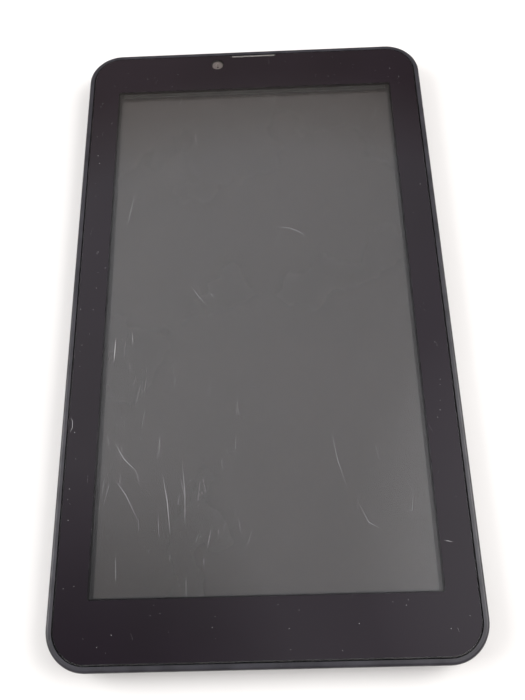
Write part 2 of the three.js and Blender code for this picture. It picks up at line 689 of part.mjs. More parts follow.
// The loudspeaker faces the back: its cone is a shallow dish on the lower side
const speakerProfile = [
  [0, 0.55], [2.6, 0.55], [3.2, 0.2], [4.6, 1.0], [5.9, 0.35], [6.1, 0], [SPEAKER_RADIUS, 0],
  [SPEAKER_RADIUS, 1.3], [5.4, 1.5], [5.4, 2.9], [0, 2.9],
].map(([radius, height]) => new THREE.Vector2(radius, height));
const speakerMesh = piece('loudspeaker', new THREE.LatheGeometry(speakerProfile, 20), 'socket_plastic');
speakerMesh.rotation.x = Math.PI / 2;
speakerMesh.position.set(SPEAKER_X, SPEAKER_Y, 1.9);

const gasketShape = new THREE.Shape();
gasketShape.absarc(0, 0, SPEAKER_RADIUS, 0, 2 * Math.PI);
const gasketHole = new THREE.Path();
gasketHole.absarc(0, 0, 6, 0, 2 * Math.PI);
gasketShape.holes.push(gasketHole);
const gasketOptions = { depth: 0.35, bevelEnabled: false, curveSegments: 10 };
const gasketMesh = piece('loudspeaker_gasket', new THREE.ExtrudeGeometry(gasketShape, gasketOptions), 'foam');
gasketMesh.position.set(SPEAKER_X, SPEAKER_Y, 1.48);

const speakerLeadPoints = [
  [SPEAKER_X + 7.6, SPEAKER_Y + 1, 3.2], [39.5, -74, 3.0], [41, -66, 2.6], [41, -40, 2.5], [41, -10, 2.5],
  [41, 20, 2.5], [42, 34, 2.8], [43, 40.4, 3.2],
];
piece('loudspeaker_lead', lead(speakerLeadPoints, 1.6, 0.8, 8, 20), 'red_lead');

piece('microphone', rod('y', 1.5, -92.2, -90.9, [MICROPHONE_X, MICROPHONE_Z], 14), 'steel');
const microphoneLeadPoints = [
  [MICROPHONE_X, -90.2, 4.4], [-18, -88.2, 4.0], [-26, -83.5, 3.2], [-40, -79, 2.8], [-44.5, -70, 2.6],
  [-44.5, -40, 2.5], [-44.5, -5, 2.5], [-44.5, 28, 2.6], [-45, 40.4, 3.2],
];
piece('microphone_lead', lead(microphoneLeadPoints, 1.2, 0.7, 8, 24), 'black_lead');

const earpieceMesh = piece('earpiece', new THREE.BoxGeometry(14.4, 5.4, 2.3), 'socket_plastic');
earpieceMesh.position.set(0, 88, 6.6);
const meshDepth = EARPIECE_SLOT_DEPTH - 0.2;
const meshForm = new THREE.BoxGeometry(EARPIECE_SLOT_WIDTH - 0.4, meshDepth, 0.7);
const earpieceGrille = piece('earpiece_grille', meshForm, 'woven_mesh');
earpieceGrille.position.set(0, GLASS_TOP_EDGE - EARPIECE_SLOT_DEPTH / 2, 9.5);

const cameraBody = toSolid(block(-2.6, 2.6, -2.6, 2.3, 0, 2.85));
const cameraForm = join(cameraBody, [rod('z', 2.3, 2.5, 3.95, [0, 0], 16)]);
const cameraMesh = piece('front_camera', cameraForm, 'socket_plastic');
cameraMesh.position.set(FRONT_CAMERA_X, FRONT_CAMERA_Y, 5.15);

const rearCameraBody = toSolid(block(-3.25, 3.25, -3.25, 3.25, 1.25, 3.6));
const rearCameraForm = join(rearCameraBody, [rod('z', 2.5, 0, 1.5, [0, 0], 16)]);
const rearCameraMesh = piece('rear_camera', rearCameraForm, 'socket_plastic');
rearCameraMesh.position.set(REAR_CAMERA_X, REAR_CAMERA_Y, 1.45);

const motorCan = toSolid(rod('x', MOTOR_RADIUS, -44.5, -35.5, [MOTOR_Y, MOTOR_Z], 14));
piece('vibration_motor', cut(motorCan, [rod('x', 0.6, -40, -34, [MOTOR_Y, MOTOR_Z], 8)]), 'steel');

function makeVibrationWeight() {
  const shaft = toSolid(rod('x', 0.35, -39, -31.6, [MOTOR_Y, MOTOR_Z], 8));
  const disc = toSolid(rod('x', 2.1, -34.9, -31.8, [MOTOR_Y, MOTOR_Z], 20));
  const lowerHalf = cut(disc, [block(-FAR, 0, MOTOR_Y - 4, MOTOR_Y + 4, MOTOR_Z + 0.2, MOTOR_Z + 4)]);
  return join(shaft.add(lowerHalf), [rod('x', 0.9, -34.9, -31.8, [MOTOR_Y, MOTOR_Z], 10)]);
}

piece('vibration_weight', makeVibrationWeight(), 'steel');

piece('aerial', block(-28, 12, -89, -80.5, 1.45, 1.6), 'flex');
const aerialLeadPoints = [
  [-26.5, -82, 2.25], [-32, -80.6, 2.3], [-39, -73, 2.3], [-40.3, -60, 2.3],
  [-40.3, -20, 2.3], [-40.3, 20, 2.3], [-39.8, 33, 2.8], [-39.5, 40.2, 3.2],
];
piece('aerial_lead', lead(aerialLeadPoints, 1.1, 1.1, 8, 22), 'black_lead');

// ---- Screws that hold the board to the frame ----------------------------------------------------

const screwProfile = [
  [0, 0], [1.25, 0], [1.25, 0.35], [0.95, 0.6], [SCREW_SHANK, 0.6], [SCREW_SHANK, 3.5], [0, 3.9],
].map(([radius, height]) => new THREE.Vector2(radius, height));
SCREW_PLACES.forEach(([x, y], index) => {
  const mesh = piece(`board_screw_${index + 1}`, new THREE.LatheGeometry(screwProfile, 10), 'steel');
  mesh.rotation.x = Math.PI / 2;
  mesh.position.set(x, y, BOARD_BOTTOM - 0.65);
});

export default tablet;
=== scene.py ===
# %% [markdown]
# # A seven-inch tablet computer
#
# This notebook dresses a tablet whose mechanical model already exists: every part is there at its
# real size, and the side keys, the card cover and the vibration motor already move. Here each part
# that can be seen is built again as a fine mesh in the same place, and every part gets its finish.
#
# Blender works in metres, and the parts of a tablet are tenths of a millimetre, so the sizes below
# are written in millimetres and multiplied by `MM`.

# %% Load the mechanical model
import math

import bmesh
import bpy
from mathutils import Euler, Matrix, Vector


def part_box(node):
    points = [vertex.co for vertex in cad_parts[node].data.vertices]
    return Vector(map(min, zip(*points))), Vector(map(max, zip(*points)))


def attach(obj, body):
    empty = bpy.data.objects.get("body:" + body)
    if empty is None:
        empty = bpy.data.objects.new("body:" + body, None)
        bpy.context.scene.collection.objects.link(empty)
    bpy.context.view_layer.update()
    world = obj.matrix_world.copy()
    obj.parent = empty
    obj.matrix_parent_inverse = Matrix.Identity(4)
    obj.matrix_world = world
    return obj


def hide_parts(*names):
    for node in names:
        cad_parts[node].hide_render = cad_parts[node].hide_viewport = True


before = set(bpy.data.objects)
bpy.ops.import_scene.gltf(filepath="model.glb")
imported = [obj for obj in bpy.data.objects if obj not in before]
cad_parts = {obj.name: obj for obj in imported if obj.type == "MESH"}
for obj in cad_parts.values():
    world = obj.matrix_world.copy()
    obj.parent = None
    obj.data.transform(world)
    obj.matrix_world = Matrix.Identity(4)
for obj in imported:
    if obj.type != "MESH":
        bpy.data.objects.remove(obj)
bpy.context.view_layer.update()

MM = 0.001

# %% [markdown]
# ## Where things are
#
# The mechanical model says where each part is, so nothing is placed by eye. The case is the widest
# part, the glass the highest, and the window printed on the glass is what the eye measures by.

# %% Main levels and outlines
HALF_WIDTH, HALF_LENGTH, RIM_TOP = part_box("rear_cover")[1]
glass_low, glass_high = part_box("touch_glass")
CORNER_RADIUS = 10.3 * MM
WALL = 1.35 * MM
FLOOR = 1.4 * MM
FAR = 200 * MM
WINDOW_HALF_WIDTH = 43.45 * MM
WINDOW_HALF_LENGTH = 77.6 * MM
WINDOW_Y = 0.4 * MM


def middle_of(name):
    """The middle of a part of the mechanical model."""
    low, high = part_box(name)
    return (low + high) / 2


print("rim top", round(RIM_TOP / MM, 2), "mm")

# %% [markdown]
# ## Meshes from level lines
#
# A moulded case is a stack of level lines: at each height its outline is the same rounded rectangle,
# drawn in a little more towards the back. Joining the lines with faces gives a clean mesh whose
# curves run along the edges, as a subdivided box would, but with exact corner radii.

# %% Outlines and lofts
def outline(half_width, half_length, radius, steps=16, centre=(0, 0)):
    """Points round a rectangle with round corners, anticlockwise from its right side."""
    points = []
    for corner, (side_x, side_y) in enumerate([(1, 1), (-1, 1), (-1, -1), (1, -1)]):
        middle_x = centre[0] + side_x * (half_width - radius)
        middle_y = centre[1] + side_y * (half_length - radius)
        for step in range(steps + 1):
            angle = math.radians(90) * (corner + step / steps)
            points.append((middle_x + radius * math.cos(angle), middle_y + radius * math.sin(angle)))
    return points


def level(points, height):
    return [(x, y, height) for x, y in points]


def case_line(inset, height, steps=16):
    """The case's outline at one height, drawn in by inset."""
    points = outline(HALF_WIDTH - inset, HALF_LENGTH - inset, CORNER_RADIUS - inset, steps)
    return level(points, height)


def quarter(width, height, steps):
    """(inset, rise) along a quarter ellipse that leaves a flat face and ends upright."""
    angles = [math.radians(90) * step / steps for step in range(steps + 1)]
    return [(width * (1 - math.sin(a)), height * (1 - math.cos(a))) for a in angles]


def new_piece(name, mesh):
    piece = bpy.data.objects.new(name, mesh)
    bpy.context.collection.objects.link(piece)
    return piece


def shape_piece(name, shape):
    """Turns a shape under construction into a piece."""
    mesh = bpy.data.meshes.new(name)
    shape.to_mesh(mesh)
    shape.free()
    return new_piece(name, mesh)


def skin(shape, lines, closed=False):
    """Joins lines of equally many points with walls, and caps them or closes them on themselves."""
    rings = [[shape.verts.new(point) for point in line] for line in lines]
    count = len(rings[0])
    pairs = list(zip(rings, rings[1:]))
    if closed:
        pairs.append((rings[-1], rings[0]))
    for lower, upper in pairs:
        for index in range(count):
            after = (index + 1) % count
            shape.faces.new((lower[index], lower[after], upper[after], upper[index]))
    if not closed:
        shape.faces.new(list(reversed(rings[0])))
        shape.faces.new(rings[-1])


def loft(name, lines, closed=False):
    """A solid through level lines."""
    shape = bmesh.new()
    skin(shape, lines, closed)
    bmesh.ops.recalc_face_normals(shape, faces=shape.faces)
    return shape_piece(name, shape)


# %% [markdown]
# ## Cutting and finishing
#
# Openings are cut with the exact Boolean solver, because a port is a real hole with a sharp lip, not
# a dark patch. After the last cut, faces that meet at a shallow angle are shaded smooth and the
# flat faces keep their own normals: that is what the Weighted Normal modifier is for.

# %% Cutting tools
def bake(piece):
    """Turns a piece with modifiers into a plain mesh."""
    graph = bpy.context.evaluated_depsgraph_get()
    mesh = bpy.data.meshes.new_from_object(piece.evaluated_get(graph))
    piece.modifiers.clear()
    piece.data = mesh
    return piece


def carve(piece, tool, operation="DIFFERENCE"):
    """Cuts a tool out of a piece, or joins or intersects them, and deletes the tool."""
    modifier = piece.modifiers.new("carve", "BOOLEAN")
    modifier.operation = operation
    modifier.solver = "EXACT"
    modifier.object = tool
    bake(piece)
    bpy.data.objects.remove(tool)
    return piece


def blocks(boxes):
    """One tool from boxes (x0, x1, y0, y1, z0, z1)."""
    shape = bmesh.new()
    for x0, x1, y0, y1, z0, z1 in boxes:
        cube = bmesh.ops.create_cube(shape, size=1)["verts"]
        for vertex in cube:
            vertex.co.x = x1 if vertex.co.x > 0 else x0
            vertex.co.y = y1 if vertex.co.y > 0 else y0
            vertex.co.z = z1 if vertex.co.z > 0 else z0
    return shape_piece("blocks", shape)


AXIS_TURNS = {
    "x": lambda u, v, along: (along, u, v),
    "y": lambda u, v, along: (-u, along, v),
    "z": lambda u, v, along: (u, v, along),
}


def prism(axis, points, start, end, centre=(0, 0)):
    """A flat outline pushed along an axis; centre is its place on the other two axes."""
    turn = AXIS_TURNS[axis]
    sign = -1 if axis == "y" else 1
    lines = []
    for along in (start, end):
        lines.append([turn(u + sign * centre[0], v + centre[1], along) for u, v in points])
    return loft("prism", lines)


def circle(radius, sides=32):
    turns = [2 * math.pi * side / sides for side in range(sides)]
    return [(radius * math.cos(turn), radius * math.sin(turn)) for turn in turns]


def finish_surface(piece, angle=32, bevel=0.0, segments=2):
    """Rounds sharp edges if asked, then shades curves smooth and keeps flat faces flat."""
    if bevel:
        rounding = piece.modifiers.new("rounding", "BEVEL")
        rounding.width = bevel
        rounding.segments = segments
        rounding.limit_method = "ANGLE"
        rounding.angle_limit = math.radians(40)
        bake(piece)
    piece.data.polygons.foreach_set("use_smooth", [True] * len(piece.data.polygons))
    piece.data.set_sharp_from_angle(angle=math.radians(angle))
    weighted = piece.modifiers.new("flat faces", "WEIGHTED_NORMAL")
    weighted.keep_sharp = True
    return bake(piece)


def block_piece(name, boxes, bevel):
    """A finished piece of square blocks with softened edges."""
    piece = blocks(boxes)
    piece.name = name
    return finish_surface(piece, bevel=bevel)


# %% [markdown]
# ## The case
#
# The rear shell is one moulding: a flat back, a long soft rounding, upright sides and a narrow
# rounded rim whose inner lip leaves a fine dark groove round the glass. The same form gives the card
# cover, so the two meet exactly: the cover is the form below one plane, and the shell is what
# remains above it.

# %% The form of the case and its cavity
BACK_ROUND = (4.2 * MM, 4.0 * MM)
CAVITY_ROUND = (3.2 * MM, 3.0 * MM)
RIM_ROUND = 0.8 * MM
LIP = 0.17 * MM
LIP_HEIGHT = 0.3 * MM
CARD_FLOOR_START = 56.5 * MM
CARD_FLOOR_TOP = 2.0 * MM


def case_form():
    lines = [case_line(inset, rise) for inset, rise in quarter(*BACK_ROUND, 14)]
    for inset, drop in reversed(quarter(RIM_ROUND, RIM_ROUND, 8)):
        lines.append(case_line(inset, RIM_TOP - drop))
    return loft("case_form", lines)


def case_cavity():
    lines = [case_line(WALL + inset, FLOOR + rise) for inset, rise in quarter(*CAVITY_ROUND, 10)]
    lines.append(case_line(WALL, RIM_TOP - 2 * LIP_HEIGHT))
    lines.append(case_line(WALL + LIP, RIM_TOP - LIP_HEIGHT))
    lines.append(case_line(WALL + LIP, RIM_TOP + 3 * MM))
    cavity = loft("case_cavity", lines)
    return carve(cavity, blocks([(-FAR, FAR, CARD_FLOOR_START, FAR, 0, CARD_FLOOR_TOP)]))


rear_cover = carve(case_form(), case_cavity())
rear_cover.name = "rear_cover_shell"
print("shell blank has", len(rear_cover.data.polygons), "faces")

# %% [markdown]
# The card cover slides off over the top edge. Three tongues on its lower edge hook under the back.

# %% Cut the card cover's place and its tongue pockets
cover_low, cover_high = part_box("card_cover")
COVER_GAP = 0.25 * MM
COVER_START = 60 * MM
COVER_TOP = cover_high.z
TONGUE_HALF = 4 * MM
TONGUE_PLACES = [-34 * MM, 0, 34 * MM]
TONGUE_BOTTOM = 0.62 * MM


def tongues(grow):
    return blocks([
        (x - TONGUE_HALF - grow, x + TONGUE_HALF + grow, cover_low.y - grow, COVER_START + MM,
         TONGUE_BOTTOM - 0.6 * grow, COVER_TOP + 0.8 * grow)
        for x in TONGUE_PLACES
    ])


carve(rear_cover, blocks([(-FAR, FAR, COVER_START, FAR, -MM, COVER_TOP + COVER_GAP)]))
carve(rear_cover, tongues(0.3 * MM))

# %% [markdown]
# Under the cover, three bays let the cards slide into their sockets and a round hole lets the rear
# camera look out.

# %% Card bays and the rear camera's hole
rear_place = middle_of("rear_camera").xy
BAY_HEIGHTS = (MM, 2.5 * MM)
CARD_BAYS = [(-41 * MM, -25.5 * MM), (-20.5 * MM, -5 * MM), (4 * MM, 19.5 * MM)]
carve(rear_cover, blocks([(x0, x1, 66 * MM, 88 * MM, *BAY_HEIGHTS) for x0, x1 in CARD_BAYS]))
carve(rear_cover, prism("z", circle(3.2 * MM), *BAY_HEIGHTS, rear_place))
print(len(CARD_BAYS), "card bays cut")

# %% [markdown]
# ## The loudspeaker's grille
#
# A grille is one hole repeated on a grid, so Geometry Nodes make the tool that drills it: a grid of
# points, a cylinder on each, and the instances made real. Changing a size changes every hole.

# %% A drill made by Geometry Nodes
def nodes_tree(name, inputs):
    """A Geometry Nodes tree with named number inputs, and the sockets they arrive on."""
    tree = bpy.data.node_groups.new(name, "GeometryNodeTree")
    tree.interface.new_socket("Geometry", in_out="OUTPUT", socket_type="NodeSocketGeometry")
    for socket_name, kind, value in inputs:
        socket = tree.interface.new_socket(socket_name, in_out="INPUT", socket_type="NodeSocket" + kind)
        socket.default_value = value
    return tree, node(tree, "NodeGroupInput").outputs


def node(tree, kind, links=None, **settings):
    """Adds a node, sets its properties, and links or sets its inputs."""
    new = tree.nodes.new(kind)
    for name, value in settings.items():
        setattr(new, name, value)
    for socket, value in (links or {}).items():
        if isinstance(value, bpy.types.NodeSocket):
            tree.links.new(value, new.inputs[socket])
        else:
            new.inputs[socket].default_value = value
    return new


def made(tree, kind, links=None, **settings):
    """Adds a node and gives its first output."""
    return node(tree, kind, links, **settings).outputs[0]


def calc(tree, operation, first, second=0.0):
    return made(tree, "ShaderNodeMath", {0: first, 1: second}, operation=operation)


def combined(tree, **parts):
    """A vector from its X, Y and Z."""
    return made(tree, "ShaderNodeCombineXYZ", parts)


def axes_of(tree, vector):
    return node(tree, "ShaderNodeSeparateXYZ", {0: vector}).outputs


def finish_tree(tree, points, copied, material=None):
    """Every tree puts a copy on each point, makes the copies real and gives them their material."""
    copies = made(tree, "GeometryNodeInstanceOnPoints", {"Points": points, **copied})
    real = made(tree, "GeometryNodeRealizeInstances", {"Geometry": copies})
    dressed = made(tree, "GeometryNodeSetMaterial", {"Geometry": real})
    dressed.node.inputs["Material"].default_value = material
    tree.links.new(dressed, node(tree, "NodeGroupOutput").inputs[0])
    return tree


def grow(name, tree, values, place):
    """Runs a tree with its inputs set by identifier and moves the plain mesh to its place."""
    piece = new_piece(name, bpy.data.meshes.new(name))
    modifier = piece.modifiers.new(name, "NODES")
    modifier.node_group = tree
    for item in tree.interface.items_tree:
        if item.in_out == "INPUT" and item.name in values:
            modifier[item.identifier] = values[item.name]
    bake(piece)
    for vertex in piece.data.vertices:
        vertex.co += Vector(place)
    return piece


def drill_tree():
    tree, given = nodes_tree("grid of drills", [
        ("Columns", "Int", 7), ("Rows", "Int", 3), ("Width", "Float", 0.01), ("Length", "Float", 0.005),
        ("Radius", "Float", 0.0006), ("Depth", "Float", 0.004),
    ])
    grid = made(tree, "GeometryNodeMeshGrid", {
        "Size X": given["Width"], "Size Y": given["Length"],
        "Vertices X": given["Columns"], "Vertices Y": given["Rows"],
    })
    drill = made(tree, "GeometryNodeMeshCylinder", {
        "Vertices": 20, "Radius": given["Radius"], "Depth": given["Depth"],
    })
    return finish_tree(tree, grid, {"Instance": drill})


GRILLE_COLUMNS = 7
GRILLE_ROWS = 3
GRILLE_PITCH_X = 1.794 * MM
GRILLE_PITCH_Y = 2.3 * MM
drills = grow("drills", drill_tree(), {
    "Columns": GRILLE_COLUMNS,
    "Rows": GRILLE_ROWS,
    "Width": (GRILLE_COLUMNS - 1) * GRILLE_PITCH_X,
    "Length": (GRILLE_ROWS - 1) * GRILLE_PITCH_Y,
    "Radius": 0.62 * MM,
    "Depth": 6 * MM,
}, (*middle_of("loudspeaker").xy, 0))
carve(rear_cover, drills)
print("grille drilled:", GRILLE_COLUMNS * GRILLE_ROWS, "holes")

# %% [markdown]
# ## Openings in the walls
#
# The top wall has the charging socket and the headphone socket, the bottom wall the microphone's
# pinhole, and the right wall the three side keys.

# %% Cut the openings
USB = middle_of("usb_socket")
JACK = middle_of("headphone_socket")
MICROPHONE = middle_of("microphone")
KEYS = ["power", "volume_down", "volume_up"]
KEY_HEIGHT = 3.7 * MM
TOP_WALL = (90 * MM, 100 * MM)

usb_slot = outline(4.15 * MM, 1.6 * MM, 0.8 * MM, 6)
carve(rear_cover, prism("y", usb_slot, *TOP_WALL, (USB.x, USB.z)))
carve(rear_cover, prism("y", circle(2.8 * MM, 48), *TOP_WALL, (JACK.x, JACK.z)))
carve(rear_cover, prism("y", circle(0.5 * MM, 20), -FAR, -90 * MM, (MICROPHONE.x, MICROPHONE.z)))
key_slot = outline(4.25 * MM, 1.2 * MM, 1.19 * MM, 10)
key_places = {}
for use in KEYS:
    low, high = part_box(use + "_button")
    key_places[use] = ((low.y + high.y) / 2, KEY_HEIGHT)
    carve(rear_cover, prism("x", key_slot, 51 * MM, FAR, key_places[use]))

# %% [markdown]
# Snap hooks hold the front frame, and two low ribs keep the battery from sliding.

# %% Add the hooks and ribs
HOOK_HALF = 3 * MM
SIDE_HOOKS = [-70 * MM, -25 * MM, 20 * MM]
END_HOOKS = [-38 * MM, 8 * MM, 38 * MM]
ROOT_DEPTH = 0.2 * MM


def hooks(grow_by):
    """The snap hooks' boxes; grown a little, they give the frame's notches."""
    wall_x, wall_y = HALF_WIDTH - WALL, HALF_LENGTH - WALL
    inner_x, inner_y = wall_x - 0.8 * MM - grow_by, wall_y - 0.8 * MM - grow_by
    outer_x, outer_y = wall_x + ROOT_DEPTH, wall_y + ROOT_DEPTH
    heights = (6.1 * MM - grow_by, 7.0 * MM + grow_by)
    half = HOOK_HALF + grow_by
    boxes = []
    for y in SIDE_HOOKS:
        boxes.append((inner_x, outer_x, y - half, y + half, *heights))
        boxes.append((-outer_x, -inner_x, y - half, y + half, *heights))
    for x in END_HOOKS:
        boxes.append((x - half, x + half, -outer_y, -inner_y, *heights))
    return boxes


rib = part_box("battery_cell")[1].x + 0.6 * MM
RIB = (-45 * MM, 10 * MM, FLOOR - ROOT_DEPTH, 2.7 * MM)
ribs = [(rib, rib + MM, *RIB), (-rib - MM, -rib, *RIB)]
carve(rear_cover, blocks(hooks(0) + ribs), "UNION")
finish_surface(rear_cover)
print("rear shell has", len(rear_cover.data.polygons), "faces")

# %% [markdown]
# ## The card cover
#
# It is cut from the same form as the shell, so its curved edge continues the case's. A round hole
# takes the camera window, and the tongues are joined on.

# %% Card cover
card_cover = carve(case_form(), blocks([
    (-FAR, FAR, COVER_START + COVER_GAP, FAR, -MM, COVER_TOP),
]), "INTERSECT")
card_cover.name = "card_cover_panel"
carve(card_cover, prism("z", circle(3.4 * MM, 64), -MM, 2 * MM, rear_place))
carve(card_cover, tongues(0), "UNION")
finish_surface(card_cover, bevel=0.07 * MM)
print("card cover has", len(card_cover.data.polygons), "faces")

# %% [markdown]
# ## The front frame
#
# The frame carries the glass and takes the board's screws. From outside only its edge shows, as a
# thin line in the groove round the glass, but it is built whole, as it comes off the mould.

# %% Front frame
frame_low, frame_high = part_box("front_frame")
FRAME_INSET = HALF_WIDTH - frame_high.x
FRAME_BOTTOM = 5.1 * MM
FRAME_TOP = frame_high.z
FRAME_WALL = 1.4 * MM
LEDGE_BOTTOM = 8.1 * MM
BOSS_RADIUS = 1.3 * MM
SHAFT_RADIUS = 0.85 * MM
SHAFT_TOP = 7.6 * MM
SCREWS = [middle_of(f"board_screw_{number}") for number in (1, 2, 3, 4)]

edge = 0.1 * MM
front_frame = loft("front_frame_moulding", [
    case_line(FRAME_INSET, FRAME_BOTTOM),
    case_line(FRAME_INSET, FRAME_TOP - edge),
    case_line(FRAME_INSET + edge, FRAME_TOP),
])
hollow_inset = FRAME_INSET + FRAME_WALL
carve(front_frame, loft("hollow", [
    case_line(hollow_inset, FRAME_BOTTOM - MM), case_line(hollow_inset, LEDGE_BOTTOM),
]))
ledge_opening = outline(46.3 * MM, 79.9 * MM, 1.5 * MM, 6, (0, 0.3 * MM))
carve(front_frame, prism("z", ledge_opening, LEDGE_BOTTOM - MM, FRAME_TOP + MM))
for screw in SCREWS:
    boss = prism("z", circle(BOSS_RADIUS, 24), frame_low.z, LEDGE_BOTTOM + 0.3 * MM, screw)
    carve(front_frame, boss, "UNION")
    shaft = prism("z", circle(SHAFT_RADIUS, 20), frame_low.z - MM, SHAFT_TOP, screw)
    carve(front_frame, shaft)

# %% Pockets in the frame for the sockets, the earpiece, the camera and the touch circuit
camera_place = (middle_of("front_camera").x, 88.5 * MM)
flex_low, flex_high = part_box("touch_flex")
for pocket in [
    (JACK.x - 3.6 * MM, JACK.x + 3.6 * MM, 81.9 * MM, 94 * MM, 4 * MM, 7.7 * MM),
    (-6.8 * MM, 6.8 * MM, 89.6 * MM, 91.9 * MM, 7 * MM, 10 * MM),
    (flex_low.x - MM, flex_high.x + MM, 82.4 * MM, 86.1 * MM, 7 * MM, 10 * MM),
    (MICROPHONE.x - 1.9 * MM, MICROPHONE.x + 1.9 * MM, -93 * MM, -90.8 * MM, 4 * MM, 6.2 * MM),
]:
    carve(front_frame, blocks([pocket]))
carve(front_frame, prism("z", circle(2.6 * MM, 32), 7 * MM, 10 * MM, camera_place))
carve(front_frame, blocks(hooks(0.3 * MM)))
finish_surface(front_frame)
print("front frame has", len(front_frame.data.polygons), "faces")

# %% [markdown]
# ## The cover glass
#
# One sheet of glass covers the whole front. Its edge is ground to a small flat all round, and a notch
# in the top edge makes room for the earpiece. The black border is ink printed on the back of the
# glass, so it is modelled as a thin ring at the glass's lower face. Glass backed by ink looks like
# polished black stone, so a black gloss ring, thinner than a hair, also lies in the face above the
# ink. Both stop short of the glass's edge, where the clear ground edge shows as a pale line.

# %% Glass and its printed border
GLASS_INSET = HALF_WIDTH - glass_high.x
GROUND_EDGE = 0.16 * MM
NOTCH_HALF = 7.25 * MM
NOTCH_START = glass_high.y - 1.05 * MM
NOTCH_DEPTH = 4 * MM


def earpiece_notch(low, high, shrink=0.0):
    """The slot the earpiece looks through: straight sides and small round inner corners."""
    middle = NOTCH_START + shrink + NOTCH_DEPTH / 2
    return prism("z", outline(NOTCH_HALF - shrink, NOTCH_DEPTH / 2, 0.45 * MM, 6, (0, middle)), low, high)


touch_glass = loft("cover_glass_sheet", [
    case_line(GLASS_INSET + GROUND_EDGE, glass_low.z, 20),
    case_line(GLASS_INSET, glass_low.z + GROUND_EDGE, 20),
    case_line(GLASS_INSET, glass_high.z - GROUND_EDGE, 20),
    case_line(GLASS_INSET + GROUND_EDGE, glass_high.z, 20),
])
carve(touch_glass, earpiece_notch(glass_low.z - MM, glass_high.z + MM))
finish_surface(touch_glass, angle=20)


def border_ring(name, low, high, inset, hole, margin, radius, steps):
    """A ring from the glass's edge to its window, with holes for the camera and the earpiece."""
    ring = loft(name, [case_line(inset, low, 20), case_line(inset, high, 20)])
    window = outline(WINDOW_HALF_WIDTH + margin, WINDOW_HALF_LENGTH + margin, radius, steps, (0, WINDOW_Y))
    through = (low - MM, high + MM)
    carve(ring, prism("z", window, *through))
    carve(ring, prism("z", circle(hole, 40), *through, camera_place))
    carve(ring, earpiece_notch(*through, -0.2 * MM))
    return finish_surface(ring)


GLASS_TOP = glass_high.z
ink_border = border_ring(
    "printed_border", glass_low.z - 0.035 * MM, glass_low.z + 0.004 * MM,
    inset=GLASS_INSET + 0.34 * MM, hole=1.7 * MM, margin=0, radius=0.25 * MM, steps=4)
gloss_border = border_ring(
    "border_gloss", GLASS_TOP - 0.02 * MM, GLASS_TOP + 0.002 * MM,
    inset=GLASS_INSET + 0.3 * MM, hole=2.0 * MM, margin=0.35 * MM, radius=0.5 * MM, steps=6)
print("glass top at", round(GLASS_TOP / MM, 2), "mm")

# %% [markdown]
# ## The earpiece's woven mesh
#
# Fine steel wires cross over and under each other. One wire is a line that rises and falls once per
# crossing; every second wire is the same one turned half a turn about its own length, so its hills
# are the neighbour's valleys. Geometry Nodes lay a row of them, and two rows at right angles weave.

# %% Woven mesh
def woven_row_tree():
    tree, given = nodes_tree("row of woven wires", [
        ("Length", "Float", 0.014), ("Pitch", "Float", 0.0002), ("Wires", "Int", 4),
        ("Radius", "Float", 0.00005), ("Steps", "Int", 40), ("Start Phase", "Float", 0.0),
    ])
    start = combined(tree, X=calc(tree, "MULTIPLY", given["Length"], -0.5))
    end = combined(tree, X=calc(tree, "MULTIPLY", given["Length"], 0.5))
    line = made(tree, "GeometryNodeCurvePrimitiveLine", {"Start": start, "End": end})
    wire = made(tree, "GeometryNodeResampleCurve", {"Curve": line, "Count": given["Steps"]})
    along = axes_of(tree, made(tree, "GeometryNodeInputPosition"))["X"]
    turn = calc(tree, "ADD", calc(tree, "DIVIDE", along, given["Pitch"]), given["Start Phase"])
    wave = calc(tree, "COSINE", calc(tree, "MULTIPLY", turn, math.pi))
    lift = combined(tree, Z=calc(tree, "MULTIPLY", wave, given["Radius"]))
    bent = made(tree, "GeometryNodeSetPosition", {"Geometry": wire, "Offset": lift})
    section = made(tree, "GeometryNodeCurvePrimitiveCircle", {"Resolution": 6, "Radius": given["Radius"]})
    solid = made(tree, "GeometryNodeCurveToMesh", {
        "Curve": bent, "Profile Curve": section, "Fill Caps": True,
    })
    step = combined(tree, Y=given["Pitch"])
    row = made(tree, "GeometryNodeMeshLine", {"Count": given["Wires"], "Offset": step})
    odd = calc(tree, "MODULO", made(tree, "GeometryNodeInputIndex"), 2.0)
    flip = combined(tree, X=calc(tree, "MULTIPLY", odd, math.pi))
    return finish_tree(tree, row, {"Instance": solid, "Rotation": flip})


mesh_low, mesh_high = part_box("earpiece_grille")
WIRE_PITCH = 0.2 * MM
WIRE_RADIUS = 0.05 * MM
MESH_LEVEL = mesh_high.z - 2.2 * WIRE_RADIUS
mesh_length = mesh_high.x - mesh_low.x
mesh_width = mesh_high.y - mesh_low.y
weave = woven_row_tree()
long_count = int(mesh_width / WIRE_PITCH)
short_count = int(mesh_length / WIRE_PITCH)
first_row = mesh_low.y + (mesh_width - (long_count - 1) * WIRE_PITCH) / 2
long_wires = grow("long_wires", weave, {
    "Length": mesh_length, "Pitch": WIRE_PITCH, "Wires": long_count, "Radius": WIRE_RADIUS,
    "Steps": 4 * short_count,
}, (0, first_row, MESH_LEVEL))
short_wires = grow("short_wires", weave, {
    "Length": mesh_width, "Pitch": WIRE_PITCH, "Wires": short_count, "Radius": WIRE_RADIUS,
    "Steps": 4 * long_count, "Start Phase": 0.5,
}, (0, 0, 0))
first_column = -(short_count - 1) * WIRE_PITCH / 2
for vertex in short_wires.data.vertices:
    along, across, rise = vertex.co
    vertex.co = (first_column + across, (mesh_low.y + mesh_high.y) / 2 - along, MESH_LEVEL + rise)
for rows in (long_wires, short_wires):
    finish_surface(rows, angle=80)
